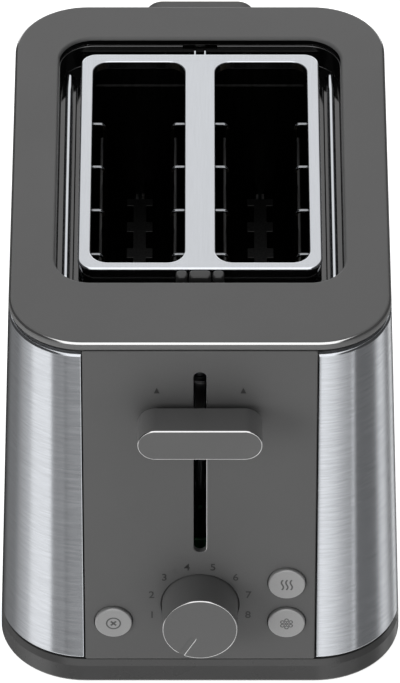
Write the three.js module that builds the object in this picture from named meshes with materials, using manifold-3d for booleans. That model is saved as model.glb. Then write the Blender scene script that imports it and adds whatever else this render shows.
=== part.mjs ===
// Two-slot pop-up toaster with a raised bun-warming rack.
//
// Frame: millimetres, +Z up, +X to the right seen from the front, the front (lever) end faces -Y.
// The origin is on the table under the middle of the body.
// Each named mesh is one physical piece. Pieces that rest on each other keep a gap of FIT.

import * as THREE from 'three';
import { mergeVertices } from 'three/addons/utils/BufferGeometryUtils.js';
import Module from 'manifold-3d';

// ---------- driving dimensions ----------

const FIT = 0.3; // gap between touching pieces
const TOP_Z = 197; // top of the cover

// Body outline in plan, at the top. It grows downwards by the draft on every side.
const BODY = { halfX: 85, halfY: 121.5, radius: 33 };
const DRAFT = THREE.MathUtils.degToRad(1.85);

// Plan of the opening in the cover and of what stands in it. They share one centre.
const OPENING = { y: 9.05, halfX: 64.75, halfY: 87.85, radius: 16 };
const PLATE = { halfX: 54.7, halfY: 77.55, radius: 7, top: 196, thick: 1.4 };
const SLOT = { x: 27.98, y: 8.35, halfX: 21.08, halfY: 72.35, radius: 8 };

// Heights of the outer pieces, bottom and top.
const BASE = { bottom: 0.7, floor: 4.5, crease: 9.8, top: 13.2, ledge: 0.7, wall: 2.8 };
const SHELL = { bottom: 14.5, top: 190.5, thick: 1.2, edge: 1.3 };
const PANEL = { bottom: 13.7, top: 192.4, halfX: 52.2, outer: 0.2, inner: 3.2 };
const COVER = { bottom: 193, skirtBottom: 184, skirtOuter: 3.4, skirtInner: 5.4 };
const SEAM_X = 52.6; // where the side shells start, beside the panels

// Lever knobs, seen from the front, and the grooves that their arms run in.
const KNOB = { halfX: 27.7, rearHalfX: 25.4, halfY: 8.1, back: 3, proud: 20 };
const ARM = { halfX: 2.2, halfZ: 3.6 };
const GROOVE_HALF = 2.8;
const LIFT_LEVER = { z: 155.2, down: 71 };
const RACK_LEVER = { z: 173.6, down: 32 };

// Controls on the front panel: centres are [x, z] on the panel's face.
const DIAL = { x: 0, z: 46.3, radius: 17.3, proud: 17.6, recess: 17.7, pointerDeg: 240 };
const POINTER = { from: 4.8, half: 1.5, deep: 0.6 };
const BUTTON = { radius: 8.4, proud: 1.6, travel: 1.6, flange: 9.6 };
const BUTTON_CENTRES = {
  stop: [-39.2, 36.6],
  reheat: [39.2, 59.3],
  defrost: [39.2, 36.3],
};
const BOARD_DEPTH = 14; // circuit board's face behind the panel's face

// Toasting chamber, between the two chassis plates.
const CHAMBER = { front: -66.5, back: 84.6, sheet: 1, halfX: 57.5, neckHalfX: 49 };
const WELL = { floor: 182, wall: 1.3, rim: 192.7, innerHalfX: 54.4, innerHalfY: 77.2 };
const GUIDE = { near: 12.9, far: 43.4, wire: 1.4, pitch: 31.3, count: 4, y: 3.8, bottom: 38, top: 183 };
const CARRIER_Z = 118;
const HEATER = { bottom: 25, top: 178, thick: 1, outerX: 51.7 };

// Lift mechanism in the front compartment.
const ROD = { y: -98, radius: 2.5 };
const SLEEVE = { radius: 6, bottom: 116, top: 160 };
const MAGNET = { x: 20, y: -90, top: 38.2 };

// Rack mechanism in the rear compartment.
const GEAR = { module: 1, teeth: 14, z: 128, y0: 104, y1: 112 };
const RACK_ROD = { x: 60.15, radius: 1.75, z: 186, bend: 5 };
const RACK_LEGS = { front: -67, frontEnd: 118, rear: 86, rearEnd: 95 };
const CROSSBAR = { halfX: 63, y0: 100, y1: 103.5, z0: 91, z1: 99 };

// Crumb tray, fixings and cord outlet.
const TRAY = { halfX: 48.6, front: -62, back: 118, bottom: 5, top: 10.5, sheet: 0.8 };
const SCREW_X = 54;
const SCREW_YS = [-74, 92];
const FOOT = { x: 64, y: 104, radius: 9, top: 3 };
const GLAND = { x: -36, z: 28, bore: 3.9 };

// ---------- finishes ----------

const finish = (color, roughness, metalness) => ({ color, roughness, metalness });
const GREY_PLASTIC = finish(0x5c5c5c, 0.42, 0);
const BUTTON_PLASTIC = finish(0x9a9c9e, 0.4, 0.2);
const BLACK_GLOSS = finish(0x0b0b0c, 0.18, 0);
const BRUSHED_STEEL = finish(0xb4b7b8, 0.34, 1);
const POLISHED_STEEL = finish(0xdcdee0, 0.16, 1);
const DARK_STEEL = finish(0x2b2b2d, 0.5, 0.8);
const PLATED_STEEL = finish(0x8d9092, 0.45, 1);
const MICA = finish(0xa59a80, 0.7, 0);
const RUBBER = finish(0x161616, 0.85, 0);
const BOARD_GREEN = finish(0x1f5a34, 0.6, 0);
const COPPER = finish(0xa8632c, 0.4, 0.9);
const WHITE_PLASTIC = finish(0xd8d8d2, 0.5, 0);

// ---------- joining and cutting ----------

const wasm = await Module();
wasm.setup();

function toSolid(geometry) {
  const bare = geometry.clone();
  bare.deleteAttribute('normal');
  bare.deleteAttribute('uv');
  const merged = mergeVertices(bare, 1e-4);
  const mesh = new wasm.Mesh({
    numProp: 3,
    vertProperties: new Float32Array(merged.attributes.position.array),
    triVerts: new Uint32Array(merged.index.array),
  });
  return new wasm.Manifold(mesh);
}

function toGeometry(solid) {
  const mesh = solid.getMesh();
  const geometry = new THREE.BufferGeometry();
  geometry.setAttribute('position', new THREE.BufferAttribute(new Float32Array(mesh.vertProperties), 3));
  geometry.setIndex(new THREE.BufferAttribute(new Uint32Array(mesh.triVerts), 1));
  return geometry;
}

const join = (...pieces) => toGeometry(pieces.map(toSolid).reduce((a, b) => a.add(b)));
const cut = (piece, ...cutters) => toGeometry(cutters.map(toSolid).reduce((a, b) => a.subtract(b), toSolid(piece)));
const common = (a, b) => toGeometry(toSolid(a).intersect(toSolid(b)));

// ---------- basic shapes ----------

// A box from its low to its high corner.
function box([x0, y0, z0], [x1, y1, z1]) {
  const geometry = new THREE.BoxGeometry(x1 - x0, y1 - y0, z1 - z0);
  return geometry.translate((x0 + x1) / 2, (y0 + y1) / 2, (z0 + z1) / 2);
}

// An upright round bar.
function post(x, y, z0, z1, radius, sides = 16) {
  const geometry = new THREE.CylinderGeometry(radius, radius, z1 - z0, sides);
  return geometry.rotateX(Math.PI / 2).translate(x, y, (z0 + z1) / 2);
}

// A solid of revolution about Z. The profile is a list of [radius, z] that starts and ends on the axis.
function turned(profile, sides = 24) {
  const points = profile.map(([radius, z]) => new THREE.Vector2(radius, z));
  return new THREE.LatheGeometry(points, sides).rotateX(Math.PI / 2);
}

// A polygon of [x, y] points, extruded from z0 to z1.
function prism(points, z0, z1) {
  const shape = new THREE.Shape(points.map(([x, y]) => new THREE.Vector2(x, y)));
  const geometry = new THREE.ExtrudeGeometry(shape, { depth: z1 - z0, bevelEnabled: false });
  return geometry.translate(0, 0, z0);
}

function roundedRect(halfX, halfY, radius) {
  const [x, y] = [halfX - radius, halfY - radius];
  const shape = new THREE.Shape();
  shape.absarc(x, y, radius, 0, Math.PI / 2);
  shape.absarc(-x, y, radius, Math.PI / 2, Math.PI);
  shape.absarc(-x, -y, radius, Math.PI, 1.5 * Math.PI);
  shape.absarc(x, -y, radius, 1.5 * Math.PI, 2 * Math.PI);
  return shape;
}

// A rounded rectangle raised through levels [z, grow]: at each level its outline is moved outwards
// by grow, square to itself, so that drafts, bevels and rounded rims come from one list.
function raised({ halfX, halfY, radius }, levels, segments = 3) {
  const steps = levels.length - 1;
  const shape = roundedRect(halfX, halfY, radius);
  const options = { depth: steps, steps, bevelEnabled: false, curveSegments: segments };
  const geometry = new THREE.ExtrudeGeometry(shape, options);
  const position = geometry.attributes.position;
  const out = new THREE.Vector2();
  for (let i = 0; i < position.count; i += 1) {
    const [x, y] = [position.getX(i), position.getY(i)];
    const [z, grow] = levels[Math.round(position.getZ(i))];
    const beyondX = Math.max(Math.abs(x) - (halfX - radius), 0);
    const beyondY = Math.max(Math.abs(y) - (halfY - radius), 0);
    out.set(Math.sign(x) * beyondX, Math.sign(y) * beyondY).normalize().multiplyScalar(grow);
    position.setXYZ(i, x + out.x, y + out.y, z);
  }
  return geometry;
}

// The body's drafted outline through levels [z, inset].
function body(levels) {
  const spread = (z) => (TOP_Z - z) * Math.tan(DRAFT);
  return raised(BODY, levels.map(([z, inset]) => [z, spread(z) - inset]), 4);
}

// A straight-sided rounded block from z0 to z1, moved to (x, y).
function slab(outline, z0, z1, x = 0, y = 0, grow = 0) {
  return raised(outline, [[z0, grow], [z1, grow]]).translate(x, y, 0);
}

// ---------- bent wire ----------

// A path straight from point to point, so that a wire has rings only at its ends and bends.
class BentPath extends THREE.Curve {
  constructor(points) {
    super();
    this.points = points;
  }

  getPoint(t, target = new THREE.Vector3()) {
    const place = t * (this.points.length - 1);
    const index = Math.min(Math.floor(place + 1e-6), this.points.length - 2);
    return target.lerpVectors(this.points[index], this.points[index + 1], place - index);
  }

  getPointAt(u, target) {
    return this.getPoint(u, target);
  }

  getTangentAt(u, target = new THREE.Vector3()) {
    const index = Math.round(u * (this.points.length - 1));
    const here = this.points[index];
    const before = this.points[Math.max(index - 1, 0)];
    const after = this.points[Math.min(index + 1, this.points.length - 1)];
    const arriving = here.clone().sub(before).normalize();
    const leaving = after.clone().sub(here).normalize();
    return target.copy(arriving).add(leaving).normalize();
  }
}

// Corner points with each inner corner replaced by a bend of the given radius.
function withBends(corners, radius, steps = 3) {
  const points = corners.map((corner) => new THREE.Vector3(...corner));
  const path = [points[0]];
  for (let i = 1; i < points.length - 1; i += 1) {
    const toBefore = points[i - 1].clone().sub(points[i]).normalize().multiplyScalar(radius);
    const toAfter = points[i + 1].clone().sub(points[i]).normalize().multiplyScalar(radius);
    const start = points[i].clone().add(toBefore);
    const end = points[i].clone().add(toAfter);
    path.push(...new THREE.QuadraticBezierCurve3(start, points[i], end).getPoints(steps));
  }
  path.push(points.at(-1));
  return path;
}

function wire(points, radius, sides = 6) {
  const section = new THREE.Shape();
  for (let i = 0; i < sides; i += 1) {
    const angle = (2 * Math.PI * i) / sides;
    section.lineTo(radius * Math.cos(angle), radius * Math.sin(angle));
  }
  section.curves.shift();
  const options = { steps: points.length - 1, bevelEnabled: false, extrudePath: new BentPath(points) };
  return new THREE.ExtrudeGeometry(section, options);
}

// ---------- faces of the two end panels ----------

// A panel's face has its own axes: x to the right in the toaster's frame, y up the slope, z outwards.
// Its origin is at the height of the cover's top.
const faceFront = new THREE.Matrix4()
  .makeRotationX(Math.PI / 2 - DRAFT)
  .setPosition(0, -BODY.halfY, TOP_Z);
const faceRear = new THREE.Matrix4().makeRotationZ(Math.PI).multiply(faceFront);

// Distance up a panel's face of the height z.
const upFace = (z) => (z - TOP_Z) / Math.cos(DRAFT);

// How far out the body's end is at the height z.
const endY = (z) => BODY.halfY + (TOP_Z - z) * Math.tan(DRAFT);

// A turned or raised piece whose axis stands on a panel's face at [x, z].
function onFace(face, geometry, x, z) {
  return geometry.translate(x, upFace(z), 0).applyMatrix4(face);
}

// A round bar square to a panel's face, from low to high along the face's own z.
function faceBar(face, x, z, radius, low, high, sides = 24) {
  return onFace(face, turned([[0, low], [radius, low], [radius, high], [0, high]], sides), x, z);
}

// The groove that a lever's arm runs in.
function faceGroove(face, zLow, zHigh) {
  const half = (zHigh - zLow) / 2;
  const outline = { halfX: GROOVE_HALF, halfY: half, radius: GROOVE_HALF - 0.01 };
  return onFace(face, slab(outline, -PANEL.inner - 1, 1), 0, (zLow + zHigh) / 2);
}

// ---------- casing ----------

function makeBase() {
  const outer = body([[BASE.bottom, 0.5], [BASE.bottom + 0.9, 0.1], [BASE.crease, 0], [BASE.top, BASE.ledge]]);
  const hollow = body([[BASE.floor, BASE.wall + 0.6], [BASE.crease, BASE.wall], [BASE.top + 1, BASE.wall + 0.6]]);
  const railX = TRAY.halfX + 1;
  const rails = [-1, 1].map((side) => {
    const edges = [side * railX, side * (railX + 1.6)].sort((a, b) => a - b);
    return box([edges[0], TRAY.front, BASE.floor - 1], [edges[1], 112, 12]);
  });
  const bosses = screwPlaces().map(([x, y]) => post(x, y, BASE.floor - 1, 12.6, 4.2, 12));
  const rodSocket = post(0, ROD.y, BASE.floor - 1, 12, 6);
  const tray = cut(outer, hollow);
  const solid = join(tray, ...rails, ...bosses, rodSocket);
  const cutters = [
    box([-50.3, 114, BASE.floor], [50.3, 140, BASE.top + 1]),
    post(0, ROD.y, 6, 13, ROD.radius + FIT),
  ];
  for (const [x, y] of screwPlaces()) {
    cutters.push(post(x, y, 0, 13, 2.2, 10), post(x, y, 0, 3.2, 4, 12));
  }
  for (const [x, y] of footPlaces()) {
    cutters.push(post(x, y, 0, FOOT.top + FIT, FOOT.radius + FIT));
  }
  for (let row = -2; row <= 2; row += 1) {
    for (const side of [-1, 1]) {
      cutters.push(box([side * 68 - 9, row * 12 - 2, 0], [side * 68 + 9, row * 12 + 2, BASE.floor + 1]));
    }
  }
  return cut(solid, ...cutters);
}

function makeFoot() {
  return turned([[0, 0], [FOOT.radius - 0.8, 0], [FOOT.radius, 0.8], [FOOT.radius, FOOT.top], [0, FOOT.top]], 16);
}

function makeBaseScrew() {
  const blank = turned([[0, 1.7], [3, 1.7], [3.6, 2.1], [3.6, 2.9], [1.9, 2.9], [1.9, 17], [0, 17]], 10);
  const blade = (halfX, halfY) => box([-halfX, -halfY, 1], [halfX, halfY, 2.3]);
  return cut(blank, blade(2.1, 0.5), blade(0.5, 2.1));
}

function makeSideShell(side) {
  const { bottom, top, thick, edge } = SHELL;
  const outer = body([[bottom, edge], [bottom + edge, 0], [top - edge, 0], [top, edge]]);
  const inner = body([
    [bottom - 1, edge + 2 * thick],
    [bottom + edge + 0.5, thick],
    [top - edge - 0.5, thick],
    [top + 1, edge + 2 * thick],
  ]);
  const keep = side > 0 ? box([SEAM_X, -150, 0], [100, 150, TOP_Z]) : box([-100, -150, 0], [-SEAM_X, 150, TOP_Z]);
  return common(cut(outer, inner), keep);
}

// The plain end panel, before its grooves and holes. The front one is on the -Y side.
function endPanel(end) {
  const { bottom, top, halfX, outer, inner } = PANEL;
  const skin = body([[bottom, outer + 0.8], [bottom + 0.8, outer], [top - 0.8, outer], [top, outer + 0.8]]);
  const behind = body([[bottom - 1, inner], [top + 1, inner]]);
  const keep = end < 0 ? box([-halfX, -150, 0], [halfX, 0, TOP_Z]) : box([-halfX, 0, 0], [halfX, 150, TOP_Z]);
  return common(cut(skin, behind), keep);
}

// Two stiffening ribs beside a lever's groove, inside the panel.
function grooveRibs(face, zLow, zHigh) {
  const length = zHigh - zLow;
  return [-1, 1].map((side) => {
    const rib = box([-0.8, -length / 2, -8], [0.8, length / 2, -PANEL.inner + 0.6]);
    return onFace(face, rib, side * 8.5, (zLow + zHigh) / 2);
  });
}

function makeFrontPanel() {
  const ribbed = join(endPanel(-1), ...grooveRibs(faceFront, 84, 182));
  const cutters = [
    faceGroove(faceFront, 77, 180.4),
    faceBar(faceFront, DIAL.x, DIAL.z, DIAL.recess, -1.8, 2, 30),
    faceBar(faceFront, DIAL.x, DIAL.z, 4, -6, 1, 16),
  ];
  for (const [x, z] of Object.values(BUTTON_CENTRES)) {
    cutters.push(faceBar(faceFront, x, z, BUTTON.radius + FIT, -6, 2, 20));
  }
  return cut(ribbed, ...cutters);
}

function makeRearPanel() {
  const pivot = faceBar(faceRear, 0, GEAR.z, 6, -(endY(GEAR.z) - GEAR.y1 - 1.5), -PANEL.inner + 0.6, 16);
  const ribbed = join(endPanel(1), ...grooveRibs(faceRear, 142, 182), pivot);
  const socket = new THREE.CylinderGeometry(3 + FIT, 3 + FIT, 6.6, 16).translate(0, GEAR.y1 + 4, GEAR.z);
  return cut(
    ribbed,
    socket,
    faceGroove(faceRear, 136.8, 180.2),
    faceBar(faceRear, -GLAND.x, GLAND.z, 6 + FIT, -6, 1),
  );
}

function makeTopCover() {
  const rim = body([[COVER.bottom, 0.9], [193.8, 0], [195.4, 0], [196.5, 0.6], [TOP_Z, 1.9]]);
  const skirt = cut(
    body([[COVER.skirtBottom, COVER.skirtOuter], [COVER.bottom + 0.5, COVER.skirtOuter]]),
    body([[COVER.skirtBottom - 1, COVER.skirtInner], [COVER.bottom + 1, COVER.skirtInner]]),
  );
  const rodSocket = post(0, ROD.y, COVER.skirtBottom, COVER.bottom + 0.5, 6);
  const springHook = box([-18, ROD.y - 3, COVER.skirtBottom - 0.7], [-10, ROD.y + 3, COVER.bottom + 0.5]);
  const levels = [[COVER.bottom - 1, 0], [195.7, 0], [196.6, 0.5], [TOP_Z + 0.1, 1.6]];
  const opening = raised(OPENING, levels).translate(0, OPENING.y, 0);
  const rodHole = post(0, ROD.y, COVER.skirtBottom - 1, 190, ROD.radius + FIT);
  return cut(join(rim, skirt, rodSocket, springHook), opening, rodHole);
}

// ---------- slot plate and the well around it ----------

function makeWell() {
  const { floor, wall, rim, innerHalfX, innerHalfY } = WELL;
  const bottom = floor - 1.5;
  const inner = { halfX: innerHalfX, halfY: innerHalfY, radius: 6.8 };
  const outer = { halfX: OPENING.halfX - 0.45, halfY: OPENING.halfY - 0.45, radius: OPENING.radius - 0.4 };
  const tub = cut(
    slab(outer, bottom, rim, 0, OPENING.y, wall),
    slab(outer, floor, rim + 1, 0, OPENING.y),
  );
  const collar = slab(inner, bottom, PLATE.top - PLATE.thick - FIT, 0, OPENING.y);
  const hole = slab(inner, bottom - 1, TOP_Z, 0, OPENING.y, -wall);
  const legHoles = [];
  for (const side of [-1, 1]) {
    for (const y of [RACK_LEGS.front, RACK_LEGS.rear]) {
      legHoles.push(post(side * RACK_ROD.x, y, bottom - 1, floor + 1, RACK_ROD.radius + 0.6, 12));
    }
  }
  const notchBack = OPENING.y + OPENING.halfY;
  const notch = box([-8, notchBack - 4, rim - 1.5], [8, notchBack + 4, rim + 1]);
  return cut(join(tub, collar), hole, notch, ...legHoles);
}

function makeSlotPlate() {
  const bottom = PLATE.top - PLATE.thick;
  const edge = [[bottom, 0], [PLATE.top - 0.5, 0], [PLATE.top, -0.5]];
  const sheet = raised(PLATE, edge).translate(0, OPENING.y, 0);
  const lips = [-1, 1].map((side) => slab(SLOT, 191.8, bottom + 0.5, side * SLOT.x, SLOT.y, 0.9));
  const back = OPENING.y + PLATE.halfY;
  const tabs = [-2.3, 2.3].map((x) => box([x - 0.4, back - 0.2, 193.4], [x + 0.4, back + 3, 195.4]));
  const flare = [[190, 0], [PLATE.top - 0.6, 0], [PLATE.top + 0.2, 0.8]];
  const slots = [-1, 1].map((side) => raised(SLOT, flare).translate(side * SLOT.x, SLOT.y, 0));
  return cut(join(sheet, ...lips, ...tabs), ...slots);
}

// The clip at the plate's front edge: a foot on the well's floor with three lugs.
function makePlateClip() {
  const front = OPENING.y - OPENING.halfY + 0.45 + FIT;
  const plateEdge = OPENING.y - PLATE.halfY - FIT;
  const [depth, lugBottom] = [2.6, 186];
  const foot = box([-11, front, WELL.floor + FIT], [11, plateEdge, lugBottom + 1]);
  const lug = (x, half) => {
    const outline = { halfX: half, halfY: depth, radius: 1.9 };
    return slab(outline, lugBottom, PLATE.top - 0.5, x, plateEdge - depth);
  };
  return join(foot, lug(0, 4.9), lug(-8.2, 2.6), lug(8.2, 2.6));
}

// ---------- toasting chamber ----------

function makeChassisPlate(end) {
  const plane = end < 0 ? CHAMBER.front : CHAMBER.back;
  const inside = plane - end * CHAMBER.sheet;
  const [y0, y1] = [Math.min(plane, inside), Math.max(plane, inside)];
  const toe = plane + end * 13.5;
  const wide = box([-CHAMBER.halfX, y0, 13], [CHAMBER.halfX, y1, 157]);
  const neck = box([-CHAMBER.neckHalfX, y0, 156], [CHAMBER.neckHalfX, y1, 190]);
  const flange = box([-CHAMBER.halfX, Math.min(inside, toe), 13], [CHAMBER.halfX, Math.max(inside, toe), 14.2]);
  const screwY = end < 0 ? SCREW_YS[0] : SCREW_YS[1];
  const holes = [-1, 1].map((side) => post(side * SCREW_X, screwY, 12, 15, 2.2, 12));
  const tongues = [-1, 1].map((side) => box([side * SLOT.x - 2, y0 - 1, 38], [side * SLOT.x + 2, y1 + 1, 152]));
  const bead = box([-48, inside - 0.8, 178.8], [48, inside + 0.8, 180]);
  return cut(join(wide, neck, flange, bead), ...holes, ...tongues);
}

// A mica board with its upper corners stepped in, clear of the well's rounded corners.
function makeHeater(x) {
  const [y0, y1] = [CHAMBER.front + CHAMBER.sheet + FIT, CHAMBER.back - CHAMBER.sheet - FIT];
  const step = 156;
  const outline = [
    [y0, HEATER.bottom], [y1, HEATER.bottom], [y1, step], [y1 - 6, step],
    [y1 - 6, HEATER.top], [y0 + 6, HEATER.top], [y0 + 6, step], [y0, step],
  ];
  const board = prism(outline, -HEATER.thick / 2, HEATER.thick / 2);
  return board.applyMatrix4(new THREE.Matrix4().makeBasis(
    new THREE.Vector3(0, 1, 0),
    new THREE.Vector3(0, 0, 1),
    new THREE.Vector3(1, 0, 0),
  )).translate(x, 0, 0);
}

// A sheet beside the outer heater, with a folded foot.
function makeReflector(side) {
  const [y0, y1] = [CHAMBER.front + CHAMBER.sheet + FIT, CHAMBER.back - CHAMBER.sheet - FIT];
  const outline = [[56.8, 20], [56.8, 156.5], [56, 156.5], [56, 20.8], [53.4, 20.8], [53.4, 20]];
  const sheet = prism(outline, -y1, -y0).rotateX(Math.PI / 2);
  return side > 0 ? sheet : sheet.rotateZ(Math.PI).translate(0, y0 + y1, 0);
}

// One side of a bread guide: upright wires bent over away from the bread, on two flat bars.
// outward is the side, +1 or -1 along X, that the wires bend to.
function makeGuide(x, outward) {
  const wires = [];
  for (let i = 0; i < GUIDE.count; i += 1) {
    const y = GUIDE.y + (i - (GUIDE.count - 1) / 2) * GUIDE.pitch;
    const corners = [[x, y, GUIDE.bottom], [x, y, GUIDE.top], [x + outward * 6.5, y, GUIDE.top]];
    wires.push(wire(withBends(corners, 3), GUIDE.wire));
  }
  const reach = ((GUIDE.count - 1) / 2) * GUIDE.pitch + 3;
  const bars = [44, 168].map((z) => {
    const edges = [x + outward * 0.8, x + outward * 2.2].sort((a, b) => a - b);
    return box([edges[0], GUIDE.y - reach, z], [edges[1], GUIDE.y + reach, z + 5]);
  });
  return join(...wires, ...bars);
}

// ---------- lift carriage ----------

// The bar that carries the bread, with a tongue through each chassis plate.
function makeCarrier(side) {
  const x = side * SLOT.x;
  const [front, back] = [CHAMBER.front - 10, CHAMBER.back + 4];
  const web = box([x - 0.7, front, CARRIER_Z - 7], [x + 0.7, back, CARRIER_Z - 0.6]);
  const shelf = box([x - 6, SLOT.y - 68, CARRIER_Z - 1.2], [x + 6, SLOT.y + 68, CARRIER_Z]);
  const notches = [];
  for (let i = -3; i <= 3; i += 1) {
    for (const edge of [-1, 1]) {
      const [notchX, notchY] = [x + edge * 6, SLOT.y + i * 19];
      notches.push(box([notchX - 3, notchY - 6, CARRIER_Z - 4], [notchX + 3, notchY + 6, CARRIER_Z + 1]));
    }
  }
  return cut(join(web, shelf), ...notches);
}

function makeCarriage() {
  const crossY = CHAMBER.front - 10 - FIT;
  const sleeve = post(0, ROD.y, SLEEVE.bottom, SLEEVE.top, SLEEVE.radius);
  const link = box([-5, ROD.y, 118], [5, crossY - 0.7, 134]);
  const yoke = box([-32, crossY - 1.5, 108], [32, crossY, 134]);
  const arm = box(
    [-ARM.halfX, -endY(LIFT_LEVER.z) - KNOB.back - 7, LIFT_LEVER.z - ARM.halfZ],
    [ARM.halfX, ROD.y, LIFT_LEVER.z + ARM.halfZ],
  );
  const springEar = box([-18, ROD.y - 3, 128], [-4, ROD.y + 3, 131.6]);
  const magnetEar = box([3, MAGNET.y - 7, 112.6], [MAGNET.x + 9, crossY - 0.7, 114.6]);
  const magnetRoot = box([3, ROD.y - 2, 112.6], [5, crossY - 0.7, 120]);
  const bore = post(0, ROD.y, SLEEVE.bottom - 1, SLEEVE.top + 1, ROD.radius + FIT);
  return cut(join(sleeve, link, yoke, arm, springEar, magnetEar, magnetRoot), bore);
}

function makeArmature() {
  const z = MAGNET.top + FIT + LIFT_LEVER.down;
  return slab({ halfX: 9, halfY: 6, radius: 1 }, z, z + 1.8, MAGNET.x, MAGNET.y);
}

function makeLiftSpring() {
  const [z0, z1] = [132, 183];
  const [turns, perTurn, radius] = [8, 8, 4];
  const points = [];
  for (let i = 0; i <= turns * perTurn; i += 1) {
    const angle = (2 * Math.PI * i) / perTurn;
    const z = z0 + 0.7 + ((z1 - z0 - 1.4) * i) / (turns * perTurn);
    points.push(new THREE.Vector3(-14 + radius * Math.cos(angle), ROD.y + radius * Math.sin(angle), z));
  }
  return wire(points, 0.6, 5);
}

// An E-shaped core with the coil on its middle leg.
function makeMagnetCore() {
  const { x, y, top } = MAGNET;
  const yoke = box([x - 9, y - 5, BASE.floor + FIT], [x + 9, y + 5, 11]);
  const legs = [[-9, -6.5], [-2.5, 2.5], [6.5, 9]];
  return join(yoke, ...legs.map(([x0, x1]) => box([x + x0, y - 5, 10], [x + x1, y + 5, top])));
}

function makeMagnetCoil() {
  const { x, y } = MAGNET;
  return cut(
    slab({ halfX: 6, halfY: 9, radius: 2.5 }, 12, 35, x, y),
    box([x - 2.8, y - 5.3, 11], [x + 2.8, y + 5.3, 36]),
  );
}

// ---------- levers and controls ----------

// A knob on its arm. It is centred on z where it stands, and its front is proud of the face.
function makeLeverKnob(face, z, halfX, proud) {
  const stadium = { halfX, halfY: KNOB.halfY, radius: KNOB.halfY - 0.01 };
  const levels = [[KNOB.back, -1], [KNOB.back + 1, 0], [proud - 1.5, 0], [proud - 0.4, -0.5], [proud, -1.6]];
  const socketHalf = [ARM.halfX + FIT, ARM.halfZ + 2 * FIT];
  const socket = box([-socketHalf[0], -socketHalf[1], 0], [socketHalf[0], socketHalf[1], KNOB.back + 7.5]);
  return onFace(face, cut(raised(stadium, levels), socket), 0, z);
}

function makeDialKnob() {
  const { radius, proud, pointerDeg } = DIAL;
  const face = radius - 0.4;
  const blank = turned([
    [0, -1.4], [radius, -1.4], [face, proud - 1.2], [face - 1.2, proud], [0, proud],
  ], 30);
  const pointer = box([POINTER.from, -POINTER.half, proud - POINTER.deep], [radius + 1, POINTER.half, proud + 1]);
  const bore = turned([[0, -2], [3 + FIT, -2], [3 + FIT, 9.3], [0, 9.3]], 16);
  const knob = cut(blank, pointer.rotateZ(THREE.MathUtils.degToRad(pointerDeg)), bore);
  return onFace(faceFront, knob, DIAL.x, DIAL.z);
}

const dialShaft = () => faceBar(faceFront, DIAL.x, DIAL.z, 3, -BOARD_DEPTH + 2, 9, 16);

function makeDialPotentiometer() {
  const back = -BOARD_DEPTH + FIT;
  const case_ = turned([[0, back], [9, back], [9, -7], [5, -7], [5, -4.5], [0, -4.5]], 20);
  const bore = turned([[0, back + 1.2], [3.3, back + 1.2], [3.3, 0], [0, 0]], 16);
  return onFace(faceFront, cut(case_, bore), DIAL.x, DIAL.z);
}

function makeButton([x, z]) {
  const { radius, proud, flange } = BUTTON;
  const behind = -PANEL.inner - FIT;
  return onFace(faceFront, turned([
    [0, -6.3], [2.5, -6.3], [2.5, behind - 0.9], [flange, behind - 0.9], [flange, behind],
    [radius, behind], [radius, proud - 0.6], [radius - 0.6, proud], [0, proud],
  ], 20), x, z);
}

function makeSwitch([x, z]) {
  const back = -BOARD_DEPTH + FIT;
  const case_ = box([-3, -3, back], [3, 3, back + 3.6]);
  const plunger = post(0, 0, back + 3, -BUTTON.travel - 6.6, 1.6, 10);
  return onFace(faceFront, join(case_, plunger), x, z);
}

function makeControlBoard() {
  const [z0, z1] = [20, 73];
  const half = (z1 - z0) / 2;
  const board = slab({ halfX: 48, halfY: half, radius: 2 }, -BOARD_DEPTH - 1.6, -BOARD_DEPTH);
  return onFace(faceFront, board, 0, (z0 + z1) / 2);
}

function makeCordGland() {
  const ring = new THREE.Shape();
  const profile = [[GLAND.bore, -7], [6, -7], [6, FIT], [8.6, FIT], [8.6, 1.8], [7.6, 2.8], [GLAND.bore, 2.8]];
  ring.setFromPoints([...profile, profile[0]].map(([r, z]) => new THREE.Vector2(r, z)));
  const gland = new THREE.LatheGeometry(ring.getPoints(1), 24).rotateX(Math.PI / 2);
  return onFace(faceRear, gland, -GLAND.x, GLAND.z);
}

// ---------- bun-warming rack ----------

// One side's rod. It ends in legs through the well's floor, and the rear leg turns back to the crossbar.
function makeRackSide(side) {
  const { radius, z, bend } = RACK_ROD;
  const { front, frontEnd, rear, rearEnd } = RACK_LEGS;
  const x = side * RACK_ROD.x;
  return wire(withBends([
    [x, front, frontEnd], [x, front, z], [x, rear, z], [x, rear, rearEnd],
    [x, CROSSBAR.y0 - FIT, rearEnd],
  ], bend, 3), radius, 8);
}

// Straight-flanked rack teeth on one edge of a bar. toward is the side, +1 or -1 along X, that they
// point to; the pitch line is at x, and a tooth is centred on zTooth.
function rackBar(x, toward, z0, z1, zTooth) {
  const pitch = Math.PI * GEAR.module;
  const flank = Math.tan(THREE.MathUtils.degToRad(20));
  const [addendum, dedendum] = [0.8 * GEAR.module, 1.1 * GEAR.module];
  const half = pitch / 4 - 0.12;
  const back = x - toward * 5;
  const points = [[back, z0], [x - toward * dedendum, z0]];
  const first = Math.ceil((z0 + pitch / 2 - zTooth) / pitch);
  const last = Math.floor((z1 - pitch / 2 - zTooth) / pitch);
  for (let i = first; i <= last; i += 1) {
    const centre = zTooth + i * pitch;
    points.push([x - toward * dedendum, centre - half - flank * dedendum]);
    points.push([x + toward * addendum, centre - half + flank * addendum]);
    points.push([x + toward * addendum, centre + half - flank * addendum]);
    points.push([x - toward * dedendum, centre + half + flank * dedendum]);
  }
  points.push([x - toward * dedendum, z1], [back, z1]);
  return prism(points, -GEAR.y1, -GEAR.y0).rotateX(Math.PI / 2);
}

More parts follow.
